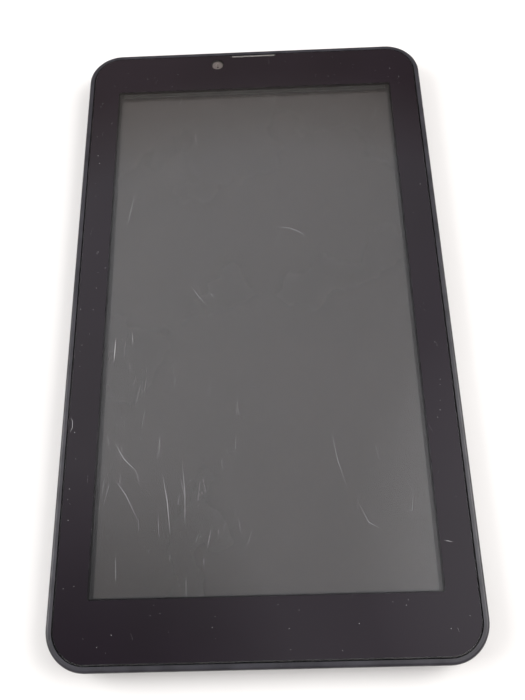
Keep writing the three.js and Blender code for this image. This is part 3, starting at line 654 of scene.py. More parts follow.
earpiece_felt = block_piece("earpiece_felt", [
    (mesh_low.x, mesh_high.x, mesh_low.y, mesh_high.y, mesh_low.z, MESH_LEVEL - 2.5 * WIRE_RADIUS),
], 0.05 * MM)
print("mesh woven from", long_count, "long and", short_count, "short wires")

# %% [markdown]
# ## Side keys
#
# Each key is a small bar with round ends. A flange inside the wall keeps it from falling out, and
# the outer edge is rounded so that it feels soft under the finger.

# %% Keys
key_low, key_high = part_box("power_button")
KEY_FLANGE = 0.45 * MM
KEY_SOFT = 0.4 * MM
KEY_HALF = (4 * MM, MM)
KEY_CORNER = 0.98 * MM
FLANGE_HALF = 5.1 * MM
FLANGE_HEIGHTS = (3.0 * MM, 4.75 * MM)


def side_key(use):
    y, z = key_places[use]
    profile = [(0, key_low.x)]
    for inset, drop in reversed(quarter(KEY_SOFT, KEY_SOFT, 6)):
        profile.append((inset, key_high.x - drop))
    lines = []
    for inset, x in profile:
        flat = outline(KEY_HALF[0] - inset, KEY_HALF[1] - inset, KEY_CORNER - inset, 10, (y, z))
        lines.append([(x, across, height) for across, height in flat])
    key = loft("key_" + use, lines)
    carve(key, blocks([
        (key_low.x, key_low.x + KEY_FLANGE, y - FLANGE_HALF, y + FLANGE_HALF, *FLANGE_HEIGHTS),
    ]), "UNION")
    return finish_surface(key)


side_keys = {use: side_key(use) for use in KEYS}
print("keys:", ", ".join(side_keys))

# %% [markdown]
# ## Sockets in the top edge
#
# The charging socket is a folded steel shell round a thin tongue with five contacts. The headphone
# socket is a moulded block with a round nose that fills the hole in the case wall.

# %% Charging socket
def five_sided(half_width, half_height, chamfer):
    """The socket's outline: square on one side, corners cut off on the other."""
    return [
        (half_width, half_height), (-half_width, half_height), (-half_width, chamfer - half_height),
        (chamfer - half_width, -half_height), (half_width - chamfer, -half_height),
        (half_width, chamfer - half_height),
    ]


usb_low, usb_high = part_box("usb_socket")
usb_centre = (USB.x, USB.z)
SHEET = 0.25 * MM
usb_half = ((usb_high.x - usb_low.x) / 2, (usb_high.z - usb_low.z) / 2)
usb_shell = prism("y", five_sided(*usb_half, 0.8 * MM), usb_low.y, usb_high.y, usb_centre)
usb_shell.name = "charging_socket_shell"
usb_inside = five_sided(usb_half[0] - SHEET, usb_half[1] - SHEET, 0.7 * MM)
carve(usb_shell, prism("y", usb_inside, usb_low.y + 0.5 * MM, usb_high.y + MM, usb_centre))
latches = [USB.x + side * 1.6 * MM for side in (-1, 1)]
carve(usb_shell, blocks([
    (x - 0.5 * MM, x + 0.5 * MM, usb_high.y - 2.6 * MM, usb_high.y - 1.4 * MM,
     usb_high.z - 0.5 * MM, usb_high.z + MM)
    for x in latches
]))
finish_surface(usb_shell, bevel=0.06 * MM)

CONTACT_PITCH = 0.65 * MM
tongue_low, tongue_high = USB.z - 0.25 * MM, USB.z + 0.35 * MM
tongue_back = usb_low.y + 0.4 * MM
usb_tongue = block_piece("charging_socket_tongue", [
    (USB.x - 2.3 * MM, USB.x + 2.3 * MM, tongue_back, usb_high.y - 0.6 * MM, tongue_low, tongue_high),
], 0.1 * MM)
contacts = [USB.x + place * CONTACT_PITCH for place in (-2, -1, 0, 1, 2)]
usb_contacts = block_piece("charging_socket_contacts", [
    (x - 0.18 * MM, x + 0.18 * MM, tongue_back, usb_high.y - 0.9 * MM,
     tongue_low - 0.06 * MM, tongue_low + 0.1 * MM)
    for x in contacts
], 0.03 * MM)
print("charging socket with", len(contacts), "contacts")

# %% Headphone socket
BORE = 1.8 * MM
NOSE = 2.5 * MM
jack_low, jack_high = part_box("headphone_socket")
jack_end = jack_high.y - 2.1 * MM


def jack_turning(profile):
    """A round solid on the headphone socket's axis, from (radius, y) pairs."""
    return loft("turning", [
        [(JACK.x + x, y, JACK.z + z) for x, z in circle(radius, 48)] for radius, y in profile
    ])


jack_body = block_piece("headphone_socket_body", [
    (jack_low.x, jack_high.x, jack_low.y, jack_end, 2.5 * MM, 7.3 * MM),
], 0.2 * MM)
carve(jack_body, jack_turning([
    (NOSE, jack_end - MM), (NOSE, jack_high.y - 0.25 * MM), (2.25 * MM, jack_high.y),
]), "UNION")
carve(jack_body, jack_turning([
    (BORE, 83.2 * MM), (BORE, jack_high.y - 0.4 * MM), (2.15 * MM, jack_high.y + 0.01 * MM),
]))
finish_surface(jack_body)
spring_levels = [JACK.z + side * 1.65 * MM for side in (-1, 1)]
jack_springs = block_piece("headphone_socket_springs", [
    (JACK.x - 0.5 * MM, JACK.x + 0.5 * MM, y, y + 1.2 * MM, z - 0.1 * MM, z + 0.1 * MM)
    for y in (84.5 * MM, 87 * MM, 89.5 * MM) for z in spring_levels
], 0.08 * MM)
print("headphone bore", round(2 * BORE / MM, 1), "mm wide")

# %% [markdown]
# ## Cameras
#
# A camera module is a square base with a turned barrel. The barrel's mouth steps down like a funnel
# to keep stray light out, and a small domed lens sits at its bottom. Both cameras are turned from
# the same profile, but the front one has a much smaller eye. The rear one looks down through the
# card cover.

# %% Camera modules
FUNNEL = [(0.58, 0.9), (0.58, 0.45), (0.70, 0.45), (0.80, 0.2), (0.92, 0.2), (1, -0.01)]
LENS_WIDTH = 0.59


def turned(name, place, profile, closed=False):
    """A round part from (radius, height) pairs."""
    lines = []
    for radius, height in profile:
        lines.append([(place[0] + x, place[1] + y, height) for x, y in circle(radius, 56)])
    return loft(name, lines, closed)


def camera_module(name, base, place, barrel, eye, mouth, direction):
    """Base block, barrel, funnel of radius eye, and lens; direction is 1 for a camera that looks up."""
    body = block_piece(name + "_body", [base], 0.15 * MM)
    soft = 0.12 * MM
    carve(body, turned("barrel", place, [
        (barrel, (base[4] + base[5]) / 2), (barrel, mouth - soft * direction), (barrel - soft, mouth),
    ]), "UNION")
    carve(body, turned("funnel", place, [
        (share * eye, mouth - depth * MM * direction) for share, depth in FUNNEL
    ]))
    finish_surface(body)
    dome = [(LENS_WIDTH * eye, mouth - 1.1 * MM * direction)]
    for step in range(9):
        angle = math.radians(88) * step / 8
        depth = 0.95 - 0.3 * math.sin(angle)
        dome.append((LENS_WIDTH * eye * math.cos(angle), mouth - depth * MM * direction))
    return body, finish_surface(turned(name + "_lens", place, dome), angle=40)


low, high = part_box("front_camera")
front_camera = camera_module("front_camera", (
    low.x, high.x, low.y, low.y + 4.9 * MM, low.z, 8 * MM,
), camera_place, 2.3 * MM, 0.8 * MM, high.z, 1)
low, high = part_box("rear_camera")
rear_camera = camera_module("rear_camera", (
    low.x, high.x, low.y, high.y, 2.7 * MM, high.z,
), rear_place, 2.5 * MM, 1.95 * MM, low.z, -1)
print("rear camera looks out", round(low.z / MM, 2), "mm above the table")

# %% The camera window in the card cover
window_low, window_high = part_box("rear_camera_window")
window_radius = (window_high.x - window_low.x) / 2
polished = 0.08 * MM
camera_window = turned("camera_window_pane", rear_place, [
    (window_radius - polished, window_low.z), (window_radius, window_low.z + polished),
    (window_radius, window_high.z), (window_radius - polished, window_high.z),
])
finish_surface(camera_window)
ring_low, ring_high = window_high.z - 0.004 * MM, window_high.z + 0.03 * MM
RING_INNER = 2.0 * MM
ring_outer = window_radius - 0.1 * MM
camera_ring = turned("camera_window_print", rear_place, [
    (RING_INNER, ring_low), (ring_outer, ring_low), (ring_outer, ring_high), (RING_INNER, ring_high),
], closed=True)
finish_surface(camera_ring)
print("camera window", round(2 * window_radius / MM, 1), "mm wide")

# %% [markdown]
# ## Finishes: groups used by many materials
#
# Hardly anything on a used tablet has one even colour. The plastic has a fine moulded grain, fingers
# leave patches that shine differently, and dust and hairlines settle everywhere. Each of these marks
# is a node group with named sockets, so that every material can place it at its own size. The groups
# work in millimetres, because that is the scale on which such marks are thought of.

# %% Helpers for shader nodes
def spread(tree, value, low, high, to_low=0.0, to_high=1.0):
    """Stretches the part of a value between low and high to a new range."""
    links = {"Value": value, "From Min": low, "From Max": high, "To Min": to_low, "To Max": to_high}
    return made(tree, "ShaderNodeMapRange", links)


def mix_colours(tree, mask, first, second):
    return node(tree, "ShaderNodeMix", {0: mask, 6: first, 7: second}, data_type="RGBA").outputs[2]


def mix_numbers(tree, mask, first, second):
    return made(tree, "ShaderNodeMix", {0: mask, 2: first, 3: second}, data_type="FLOAT")


def noise(tree, vector, scale, detail=2.0):
    return made(tree, "ShaderNodeTexNoise", {"Vector": vector, "Scale": scale, "Detail": detail})


def in_millimetres(tree, vector):
    scale = (1 / MM, 1 / MM, 1 / MM)
    return made(tree, "ShaderNodeVectorMath", {0: vector, 1: scale}, operation="MULTIPLY")


def shader_group(name, numbers, outputs=("Mask",)):
    """A group with named numbers; gives the tree, its inputs and the place in millimetres."""
    tree = bpy.data.node_groups.new(name, "ShaderNodeTree")
    tree.interface.new_socket("Vector", in_out="INPUT", socket_type="NodeSocketVector")
    for socket_name, value in numbers:
        socket = tree.interface.new_socket(socket_name, in_out="INPUT", socket_type="NodeSocketFloat")
        socket.default_value = value
    for socket_name in outputs:
        tree.interface.new_socket(socket_name, in_out="OUTPUT", socket_type="NodeSocketFloat")
    given = node(tree, "NodeGroupInput").outputs
    return tree, given, in_millimetres(tree, given["Vector"])


def close_group(tree, *results):
    """Links the results to the group's outputs, in their order."""
    output = node(tree, "NodeGroupOutput")
    for index, socket in enumerate(results):
        tree.links.new(socket, output.inputs[index])


# %% [markdown]
# *Grain* is the texture every surface has: a fine bump, slow patches of tone, and patches of gloss
# from handling. All three are noise at different sizes.

# %% Grain
GRAIN, given, place = shader_group("grain", [("Grains per mm", 6.0), ("Stains per mm", 0.1)],
                                   ["Height", "Tone", "Gloss"])
height = noise(GRAIN, place, given["Grains per mm"], 3.0)
tone = noise(GRAIN, place, given["Stains per mm"], 4.0)
gloss = noise(GRAIN, place, calc(GRAIN, "MULTIPLY", given["Stains per mm"], 3.0), 5.0)
close_group(GRAIN, height, spread(GRAIN, tone, 0.32, 0.68), spread(GRAIN, gloss, 0.3, 0.7))

# %% [markdown]
# *Hairlines* are scratches finer than a hair. Noise stretched a hundred times as long as it is wide,
# and cut off high up, leaves separate thin lines; a slow bend keeps them from looking ruled.

# %% Hairlines
HAIRLINES, given, place = shader_group("hairlines", [
    ("Lines per mm", 4.0), ("Length mm", 8.0), ("Cut", 0.7),
])
bend = spread(HAIRLINES, noise(HAIRLINES, place, 0.05), 0, 1, -3.0, 3.0)
axes = axes_of(HAIRLINES, place)
along = calc(HAIRLINES, "DIVIDE", axes["Y"], given["Length mm"])
across = calc(HAIRLINES, "MULTIPLY", calc(HAIRLINES, "ADD", axes["X"], bend), given["Lines per mm"])
streak = noise(HAIRLINES, combined(HAIRLINES, X=across, Y=along, Z=axes["Z"]), 1.0, 1.0)
cut_end = calc(HAIRLINES, "ADD", given["Cut"], 0.05)
close_group(HAIRLINES, spread(HAIRLINES, streak, given["Cut"], cut_end))

# %% [markdown]
# *Dust* is a scatter of specks: a Voronoi pattern has one point in each cell, and only the cells
# whose random number is high enough keep their speck.

# %% Dust
DUST, given, place = shader_group("dust", [("Specks per mm", 0.6), ("Speck Size", 0.08), ("Share", 0.3)])
cells = node(DUST, "ShaderNodeTexVoronoi", {"Vector": place, "Scale": given["Specks per mm"]}).outputs
lottery = made(DUST, "ShaderNodeSeparateColor", {0: cells["Color"]})
kept = calc(DUST, "LESS_THAN", lottery, given["Share"])
size = calc(DUST, "MULTIPLY", given["Speck Size"], lottery)
near = calc(DUST, "LESS_THAN", cells["Distance"], size)
close_group(DUST, calc(DUST, "MULTIPLY", kept, near))

# %% [markdown]
# *Rubbed height* is wear that depends on where it is: the rim is what the hand and the table touch,
# so it is polished and paler than the sides. The mask rises between two heights and is patchy.

# %% Rubbed rim
RUBBED, given, place = shader_group("rubbed height", [
    ("Start mm", 9.0), ("End mm", 9.8), ("Patches per mm", 0.2),
])
rise = spread(RUBBED, axes_of(RUBBED, place)["Z"], given["Start mm"], given["End mm"])
patch = spread(RUBBED, noise(RUBBED, place, given["Patches per mm"], 5.0), 0.35, 0.65)
close_group(RUBBED, calc(RUBBED, "MULTIPLY", rise, patch))
print("shader groups:", [group.name for group in bpy.data.node_groups if group.type == "SHADER"])

# %% [markdown]
# ## Finishes: one recipe, many materials
#
# Every material starts from the same recipe: two tones mixed by the grain group, a range of
# roughness, and a bump. Marks are then laid over it one after another, as on the real thing.

# %% The recipe
FINISHES = {}


def place_on(tree):
    """Where a point of the surface is on its own piece, in metres."""
    return node(tree, "ShaderNodeTexCoord").outputs["Object"]


def mark(material, group, **values):
    """Places a mark group in a material and gives its sockets."""
    tree = material.node_tree
    links = {name.replace("_", " "): value for name, value in values.items()}
    links["Vector"] = place_on(tree)
    return node(tree, "ShaderNodeGroup", links, node_tree=group).outputs


def principled(material):
    return material.node_tree.nodes["Principled BSDF"]


def make_finish(name, dark, light, rough, grains=6.0, depth=0.006, stains=0.1, **constants):
    """A finish from two tones, a roughness range, and a grain of a given depth in millimetres."""
    material = bpy.data.materials.new(name)
    material.use_nodes = True
    tree = material.node_tree
    surface = principled(material)
    for socket, value in constants.items():
        surface.inputs[socket.replace("_", " ")].default_value = value
    marks = mark(material, GRAIN, Grains_per_mm=grains, Stains_per_mm=stains)
    colour = mix_colours(tree, marks["Tone"], (*dark, 1), (*light, 1))
    tree.links.new(colour, surface.inputs["Base Color"])
    tree.links.new(spread(tree, marks["Gloss"], 0, 1, *rough), surface.inputs["Roughness"])
    bump = made(tree, "ShaderNodeBump", {"Distance": depth * MM, "Height": marks["Height"]})
    tree.links.new(bump, surface.inputs["Normal"])
    FINISHES[name] = material
    return material


def lay_over(material, mask, colour=None, rough=None):
    """Lays a mark over what the finish already has."""
    tree = material.node_tree
    surface = principled(material)
    if colour is not None:
        under = surface.inputs["Base Color"].links[0].from_socket
        tree.links.new(mix_colours(tree, mask, under, (*colour, 1)), surface.inputs["Base Color"])
    if rough is not None:
        under = surface.inputs["Roughness"].links[0].from_socket
        tree.links.new(mix_numbers(tree, mask, under, rough), surface.inputs["Roughness"])


def dusty(material, share=0.3, size=0.1):
    specks = mark(material, DUST, Specks_per_mm=0.8, Speck_Size=size, Share=share)
    lay_over(material, specks["Mask"], (0.35, 0.34, 0.32), 0.8)


def scratched(material, lines, length, cut, colour, rough=None):
    """Hairlines: how many per millimetre, how long in millimetres, and how much of them is cut off."""
    hairs = mark(material, HAIRLINES, Lines_per_mm=lines, Length_mm=length, Cut=cut)
    lay_over(material, hairs["Mask"], colour, rough)


# %% [markdown]
# ### Plastic
#
# The case is a blue-black plastic with a fine matt grain. Its rim is rubbed, and there are a few
# scratches and a little dust on it. The keys and the frame are the same plastic with a tighter grain.

# %% Plastics
case = make_finish("case_plastic", (0.012, 0.0115, 0.016), (0.019, 0.0185, 0.025), (0.34, 0.48), 7, 0.010,
                   Specular_IOR_Level=0.45)
lay_over(case, mark(case, RUBBED)["Mask"], (0.032, 0.031, 0.039), 0.3)
scratched(case, 5, 5, 0.74, (0.09, 0.09, 0.1))
dusty(case)
keys = make_finish("key_plastic", (0.022, 0.0215, 0.028), (0.033, 0.032, 0.041), (0.3, 0.42), 10, 0.004)
scratched(keys, 8, 1.5, 0.7, (0.1, 0.1, 0.11))
dusty(keys, 0.2)
DUSTY_PLASTICS = [
    ("frame_plastic", (0.022, 0.023, 0.025), (0.030, 0.031, 0.034), (0.45, 0.6), 9, 0.4, 0.1),
    ("socket_plastic", (0.010, 0.010, 0.011), (0.020, 0.020, 0.021), (0.4, 0.55), 12, 0.15, 0.1),
    ("camera_plastic", (0.22, 0.185, 0.175), (0.28, 0.24, 0.225), (0.35, 0.5), 10, 0.2, 0.05),
]
for name, dark, light, rough, grains, share, speck in DUSTY_PLASTICS:
    dusty(make_finish(name, dark, light, rough, grains), share, speck)

# %% [markdown]
# ### Glass and the printed border
#
# The cover glass is a plain clear solid with a trace of finger grease in its roughness. The ink has no
# shine of its own, because it is seen through the glass and bonded to it; the gloss over it has the
# shine of glass and the ink's faint purple.

# %% Glass, ink and lenses
make_finish("cover_glass", (0.985, 0.99, 0.985), (1.0, 1.0, 1.0), (0.03, 0.06), 0.05, 0.0002, 0.03,
            Transmission_Weight=1.0, IOR=1.5)
make_finish("border_ink", (0.0030, 0.0030, 0.0036), (0.0050, 0.0048, 0.0058), (0.9, 1.0), 3, 0.001,
            Specular_IOR_Level=0.0)
make_finish("border_gloss", (0.0055, 0.0024, 0.0056), (0.0080, 0.0040, 0.0085), (0.03, 0.06), 0.05, 0.0002,
            0.03)
make_finish("clear_plastic", (0.95, 0.96, 0.96), (1.0, 1.0, 1.0), (0.02, 0.08), 0.5, 0.0003,
            Transmission_Weight=1.0, IOR=1.49)
make_finish("lens_glass", (0.010, 0.006, 0.016), (0.016, 0.012, 0.030), (0.03, 0.08), 1, 0.0005,
            Coat_Weight=1.0, Coat_Roughness=0.02)

# %% [markdown]
# ### The display
#
# A display that is off is a grey mirror with a matt skin: the polarizer scatters what falls on it.
# Near its edges it is painted almost black: partly the panel's own border under it, partly painted shade
# where the display's frame shades the edge of the picture.

# %% Display layers
PICTURE_HALF_WIDTH = 43.2
PICTURE_TOP = 77.2
PICTURE_BOTTOM = -77.0
polarizer = make_finish("polarizer", (0.026, 0.0215, 0.019), (0.031, 0.0255, 0.0225), (0.20, 0.26),
                        14, 0.002, 0.02, Specular_IOR_Level=0.8)
tree = polarizer.node_tree
axes = axes_of(tree, in_millimetres(tree, place_on(tree)))
# The near-black edge is partly the panel's border and partly painted shade from the display's frame.
beside = spread(tree, calc(tree, "ABSOLUTE", axes["X"]), PICTURE_HALF_WIDTH - 0.4, PICTURE_HALF_WIDTH)
above = spread(tree, axes["Y"], PICTURE_TOP - 0.1, PICTURE_TOP)
below = spread(tree, axes["Y"], PICTURE_BOTTOM + 0.1, PICTURE_BOTTOM)
border_and_painted_shade = calc(tree, "MAXIMUM", beside, calc(tree, "MAXIMUM", above, below))
lay_over(polarizer, border_and_painted_shade, (0.004, 0.004, 0.005))

# %% [markdown]
# ### Metal
#
# Sheet steel keeps the fine parallel lines of the rolls that flattened it. The earpiece mesh is
# lacquered steel, paler and even. The display's frame is steel with black tape along its long sides,
# so that no bright edge shows beside the picture.

# %% Metals
TAPE_START = 42.6
steel = make_finish("steel", (0.46, 0.46, 0.45), (0.60, 0.60, 0.59), (0.26, 0.42), 3, 0.001, 0.2,
                    Metallic=1.0)
scratched(steel, 14, 20, 0.45, (0.38, 0.38, 0.375), 0.5)
woven = make_finish("woven_mesh", (0.30, 0.29, 0.28), (0.42, 0.40, 0.39), (0.35, 0.5), 5, 0.001, 1.0,
                    Metallic=0.6)
dusty(woven, 0.5, 0.2)
taped_steel = make_finish("taped_steel", (0.40, 0.40, 0.39), (0.52, 0.52, 0.51), (0.3, 0.45), 3, 0.001,
                          0.2, Metallic=1.0)
tree = taped_steel.node_tree
from_middle = calc(tree, "ABSOLUTE", axes_of(tree, in_millimetres(tree, place_on(tree)))["X"])
taped = spread(tree, from_middle, TAPE_START, TAPE_START + 0.1)
lay_over(taped_steel, taped, (0.010, 0.010, 0.011), 0.7)
foil = make_finish("battery_foil", (0.52, 0.53, 0.55), (0.66, 0.67, 0.69), (0.28, 0.45), 0.35, 0.12, 0.05,
                   Metallic=0.9)
scratched(foil, 1, 12, 0.68, (0.4, 0.4, 0.42), 0.6)

# %% [markdown]
# ### Circuit boards, chips and wiring
#
# A board's tracks show as slightly raised lines under its lacquer. A Brick Texture with long bricks
# draws parallel tracks; the same trick, finer, draws the conductors in the flat flexible circuits.

# %% Boards and chips
def add_tracks(material, width, length, line, colour, depth):
    """Raised tracks: the joints of a brick pattern, sizes in millimetres."""
    tree = material.node_tree
    surface = principled(material)
    drawn = node(tree, "ShaderNodeTexBrick", {
        "Vector": in_millimetres(tree, place_on(tree)), "Scale": 1.0, "Mortar Size": line,
        "Mortar Smooth": 0.2, "Brick Width": length, "Row Height": width, "Color1": (0, 0, 0, 1),
        "Color2": (0, 0, 0, 1), "Mortar": (1, 1, 1, 1),
    }, offset=0.35).outputs["Fac"]
    lay_over(material, drawn, colour)
    under = surface.inputs["Normal"].links[0].from_socket
    bump = made(tree, "ShaderNodeBump", {"Distance": depth * MM, "Height": drawn, "Normal": under})
    tree.links.new(bump, surface.inputs["Normal"])


board = make_finish("circuit_board", (0.008, 0.045, 0.035), (0.014, 0.070, 0.052), (0.22, 0.36), 4, 0.003)
add_tracks(board, 0.9, 6.0, 0.12, (0.022, 0.12, 0.085), 0.03)
flex = make_finish("flex_circuit", (0.30, 0.13, 0.03), (0.40, 0.18, 0.045), (0.25, 0.4), 4, 0.003)
add_tracks(flex, 0.5, 40.0, 0.1, (0.50, 0.27, 0.09), 0.02)
chips = make_finish("chip_package", (0.012, 0.012, 0.013), (0.024, 0.024, 0.025), (0.5, 0.65), 14, 0.008)
dusty(chips, 0.2)

# %% Plain finishes: panel, films, foam, tape and wires
PLAIN_FINISHES = [
    ("panel_glass", (0.02, 0.03, 0.028), (0.03, 0.04, 0.038), (0.05, 0.12), 2, 0.001),
    ("film", (0.72, 0.73, 0.74), (0.82, 0.83, 0.84), (0.3, 0.5), 4, 0.003),
    ("foam", (0.010, 0.010, 0.010), (0.022, 0.022, 0.022), (0.85, 1.0), 5, 0.12),
    ("tape", (0.012, 0.012, 0.013), (0.022, 0.022, 0.024), (0.35, 0.6), 2, 0.01),
    ("red_insulation", (0.42, 0.012, 0.010), (0.55, 0.025, 0.020), (0.3, 0.45), 3, 0.004),
    ("black_insulation", (0.010, 0.010, 0.011), (0.020, 0.020, 0.022), (0.3, 0.45), 3, 0.004),
    ("scratch_light", (0.36, 0.36, 0.37), (0.58, 0.58, 0.60), (0.5, 0.7), 2, 0.001),
]
for recipe in PLAIN_FINISHES:
    make_finish(*recipe)
print("finishes:", ", ".join(sorted(FINISHES)))

# %% [markdown]
# ## Marks on the glass
#
# Real scratches and dust stand on the glass, where the light catches them against the dark screen.
# Geometry Nodes scatter them: points at random on a rectangle, a flat sliver on each, turned within a
# given angle and stretched by a random amount. The seed is fixed, so they stay where they are.

# %% Scatter tree
MARK_HEIGHT = 0.012 * MM


def scatter_tree(material):
    tree, given = nodes_tree("scatter of marks", [
        ("Width", "Float", 0.1), ("Length", "Float", 0.15), ("Per Square Metre", "Float", 5000.0),
        ("Seed", "Int", 1), ("Shortest", "Float", 0.001), ("Longest", "Float", 0.006),
        ("Thickness", "Float", 0.00003), ("Turn", "Float", 0.3),
    ])

    def drawn_between(low, high, seed):
        links = {0: low, 1: high, "Seed": seed}
        return made(tree, "FunctionNodeRandomValue", links, data_type="FLOAT_VECTOR")

    field = made(tree, "GeometryNodeMeshGrid", {
        "Size X": given["Width"], "Size Y": given["Length"], "Vertices X": 2, "Vertices Y": 2,
    })
    points = made(tree, "GeometryNodeDistributePointsOnFaces", {
        "Mesh": field, "Density": given["Per Square Metre"], "Seed": given["Seed"],
    })
    sliver = made(tree, "GeometryNodeMeshIcoSphere", {"Radius": 0.5, "Subdivisions": 1})
    least = combined(tree, Z=calc(tree, "MULTIPLY", given["Turn"], -1.0))
    most = combined(tree, Z=given["Turn"])
    small = combined(tree, X=given["Thickness"], Y=given["Shortest"], Z=MARK_HEIGHT)
    large = combined(tree, X=given["Thickness"], Y=given["Longest"], Z=MARK_HEIGHT)
    return finish_tree(tree, points, {
        "Instance": sliver,
        "Rotation": drawn_between(least, most, given["Seed"]),
        "Scale": drawn_between(small, large, calc(tree, "ADD", given["Seed"], 7.0)),
    }, material)


scatter = scatter_tree(FINISHES["scratch_light"])
MARK_FIELDS = {
    "glass_hairlines": ((84, 152, 4500, 3, 0.8, 6.0, 0.030, 0.4), (0, 0)),
    "glass_hairlines_low_left": ((38, 60, 20000, 11, 1.0, 7.0, 0.044, 0.3), (-24, -46)),
    "glass_hairlines_border": ((101, 181, 3500, 21, 0.5, 3.0, 0.014, 0.6), (0, 0)),
    "glass_dust": ((101, 181, 16000, 5, 0.08, 0.22, 0.13, 3.1), (0, 0)),
    "glass_dust_left": ((64, 130, 18000, 9, 0.10, 0.30, 0.15, 3.1), (-19, -10)),
}
glass_marks = []
for name, (values, (x, y)) in MARK_FIELDS.items():
    width, length, count, seed, shortest, longest, thickness, turn = values
    marks = grow(name, scatter, {
        "Width": width * MM, "Length": length * MM, "Per Square Metre": float(count), "Seed": seed,
        "Shortest": shortest * MM, "Longest": longest * MM, "Thickness": thickness * MM, "Turn": turn,
    }, (x * MM, y * MM, GLASS_TOP))
    glass_marks.append(marks)
    print(name, len(marks.data.polygons) // 20, "marks")

# %% [markdown]
# A few scratches are longer and deeper than the rest. Each is a line of points, in millimetres from
# the middle of the glass, drawn as a low ridge that thins out at both ends.

# %% Long scratches
SCRATCHES = [
    (0.16, [(-40.3, -7.8), (-40.4, -11.6), (-40.5, -15.3)]),
    (0.09, [(-35.7, -6.4), (-35.4, -10.5)]),
    (0.08, [(-19.4, 7.5), (-17.5, 4.6), (-15.3, 1.7)]),
    (0.08, [(-13.9, 5.2), (-12.7, 3.6)]),
    (0.08, [(5.6, 26.1), (9.8, 25.6), (13.3, 23.7), (13.8, 21.7)]),
    (0.08, [(-39.0, -38.0), (-36.4, -42.5), (-32.6, -46.2)]),
    (0.08, [(-38.4, -48.0), (-35.4, -52.0), (-32.1, -58.4)]),
    (0.11, [(-26.1, -46.8), (-24.7, -53.5), (-23.7, -62.1)]),
    (0.07, [(-21.0, -43.2), (-20.1, -52.4), (-20.0, -60.0)]),
    (0.06, [(18.2, -35.0), (19.6, -44.4), (21.7, -52.0)]),
    (0.08, [(24.6, -56.2), (26.5, -60.6), (29.2, -61.9)]),
    (0.08, [(35.8, -58.3), (37.7, -57.8), (38.2, -54.0)]),
    (0.06, [(-37.0, 39.1), (-38.8, 28.6)]),
    (0.10, [(44.8, -65.3), (47.0, -65.9)]),
    (0.13, [(-51.4, -30.7), (-50.8, -31.7), (-50.7, -33.5), (-51.2, -34.9)]),
]
RIDGE_HEIGHT = 0.008 * MM
END_WIDTH = 0.15


def ridge(width, points):
    """A four-sided bar lying along the points, as lines to be skinned."""
    lines = []
    for index, point in enumerate(points):
        before = Vector(points[max(index - 1, 0)])
        after = Vector(points[min(index + 1, len(points) - 1)])
        along = (after - before).normalized()
        at_end = index in (0, len(points) - 1)
        half = 0.5 * width * (END_WIDTH if at_end else 1.0) * MM
        side = Vector((-along.y, along.x)) * half
        middle = Vector(point) * MM
        corners = [(middle + side, 0), (middle, RIDGE_HEIGHT), (middle - side, 0), (middle, -RIDGE_HEIGHT)]
        lines.append([(at.x, at.y, GLASS_TOP + rise) for at, rise in corners])
    return lines


def halfway(points):
    """Puts a point in the middle of a two-point line, so that it can be widest there."""
    (x0, y0), (x1, y1) = points
    return [points[0], ((x0 + x1) / 2, (y0 + y1) / 2), points[1]]


shape = bmesh.new()
for width, points in SCRATCHES:
    skin(shape, ridge(width, halfway(points) if len(points) == 2 else points))
bmesh.ops.recalc_face_normals(shape, faces=shape.faces)
glass_marks.append(shape_piece("glass_scratches", shape))
print(len(SCRATCHES), "long scratches")

# %% [markdown]
# ## Putting it together
#
# Each fine mesh takes its finish, rides on the body it belongs to, and stands for the plain part of
# the mechanical model. The parts inside keep their own meshes and only get better finishes.

# %% Dress the fine meshes
def fit(body, piece, finish, slot_name, *stands_for):
    piece.data.materials.clear()
    piece.data.materials.append(FINISHES[finish])
    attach(piece, body)
    if stands_for:
        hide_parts(*stands_for)


TABLET_PIECES = [
    (rear_cover, "case_plastic", "case_plastic", "rear_cover"),
    (front_frame, "frame_plastic", "frame_plastic", "front_frame"),
    (touch_glass, "cover_glass", "cover_glass", "touch_glass"),
    (ink_border, "border_ink", "cover_glass", "touch_glass"),
    (gloss_border, "border_gloss", "cover_glass", "touch_glass"),
    (long_wires, "woven_mesh", "woven_mesh", "earpiece_grille"),
    (short_wires, "woven_mesh", "woven_mesh", "earpiece_grille"),
    (earpiece_felt, "foam", "foam", "earpiece_grille"),
    (usb_shell, "steel", "steel", "usb_socket"),
    (usb_tongue, "socket_plastic", "socket_plastic", "usb_socket"),
    (usb_contacts, "steel", "steel", "usb_socket"),
    (jack_body, "socket_plastic", "socket_plastic", "headphone_socket"),
    (jack_springs, "steel", "steel", "headphone_socket"),
    (front_camera[0], "camera_plastic", "socket_plastic", "front_camera"),
    (front_camera[1], "lens_glass", "clear_plastic", "front_camera"),
    (rear_camera[0], "socket_plastic", "socket_plastic", "rear_camera"),
    (rear_camera[1], "lens_glass", "clear_plastic", "rear_camera"),
]
for pairing in TABLET_PIECES:
    fit("tablet", *pairing)
for marks in glass_marks:
    fit("tablet", marks, "scratch_light", "cover_glass")
fit("card_lid", card_cover, "case_plastic", "case_plastic", "card_cover")
fit("card_lid", camera_window, "clear_plastic", "clear_plastic", "rear_camera_window")
fit("card_lid", camera_ring, "border_ink", "clear_plastic", "rear_camera_window")
for use in KEYS:
    fit(use + "_key", side_keys[use], "key_plastic", "key_plastic", use + "_button")
print(len(TABLET_PIECES) + len(glass_marks) + 3 + len(KEYS), "fine pieces dressed")

# %% Dress the parts of the mechanical model
SPECIAL_FINISHES = {"display_cell": "panel_glass", "display_bezel": "taped_steel"}
dressed = 0
for name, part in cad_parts.items():
    if part.hide_render:
        continue
    for place in part.material_slots:
        place.material = FINISHES[SPECIAL_FINISHES.get(name, place.material.name)]
        dressed += 1
print(dressed, "parts of the mechanical model dressed")

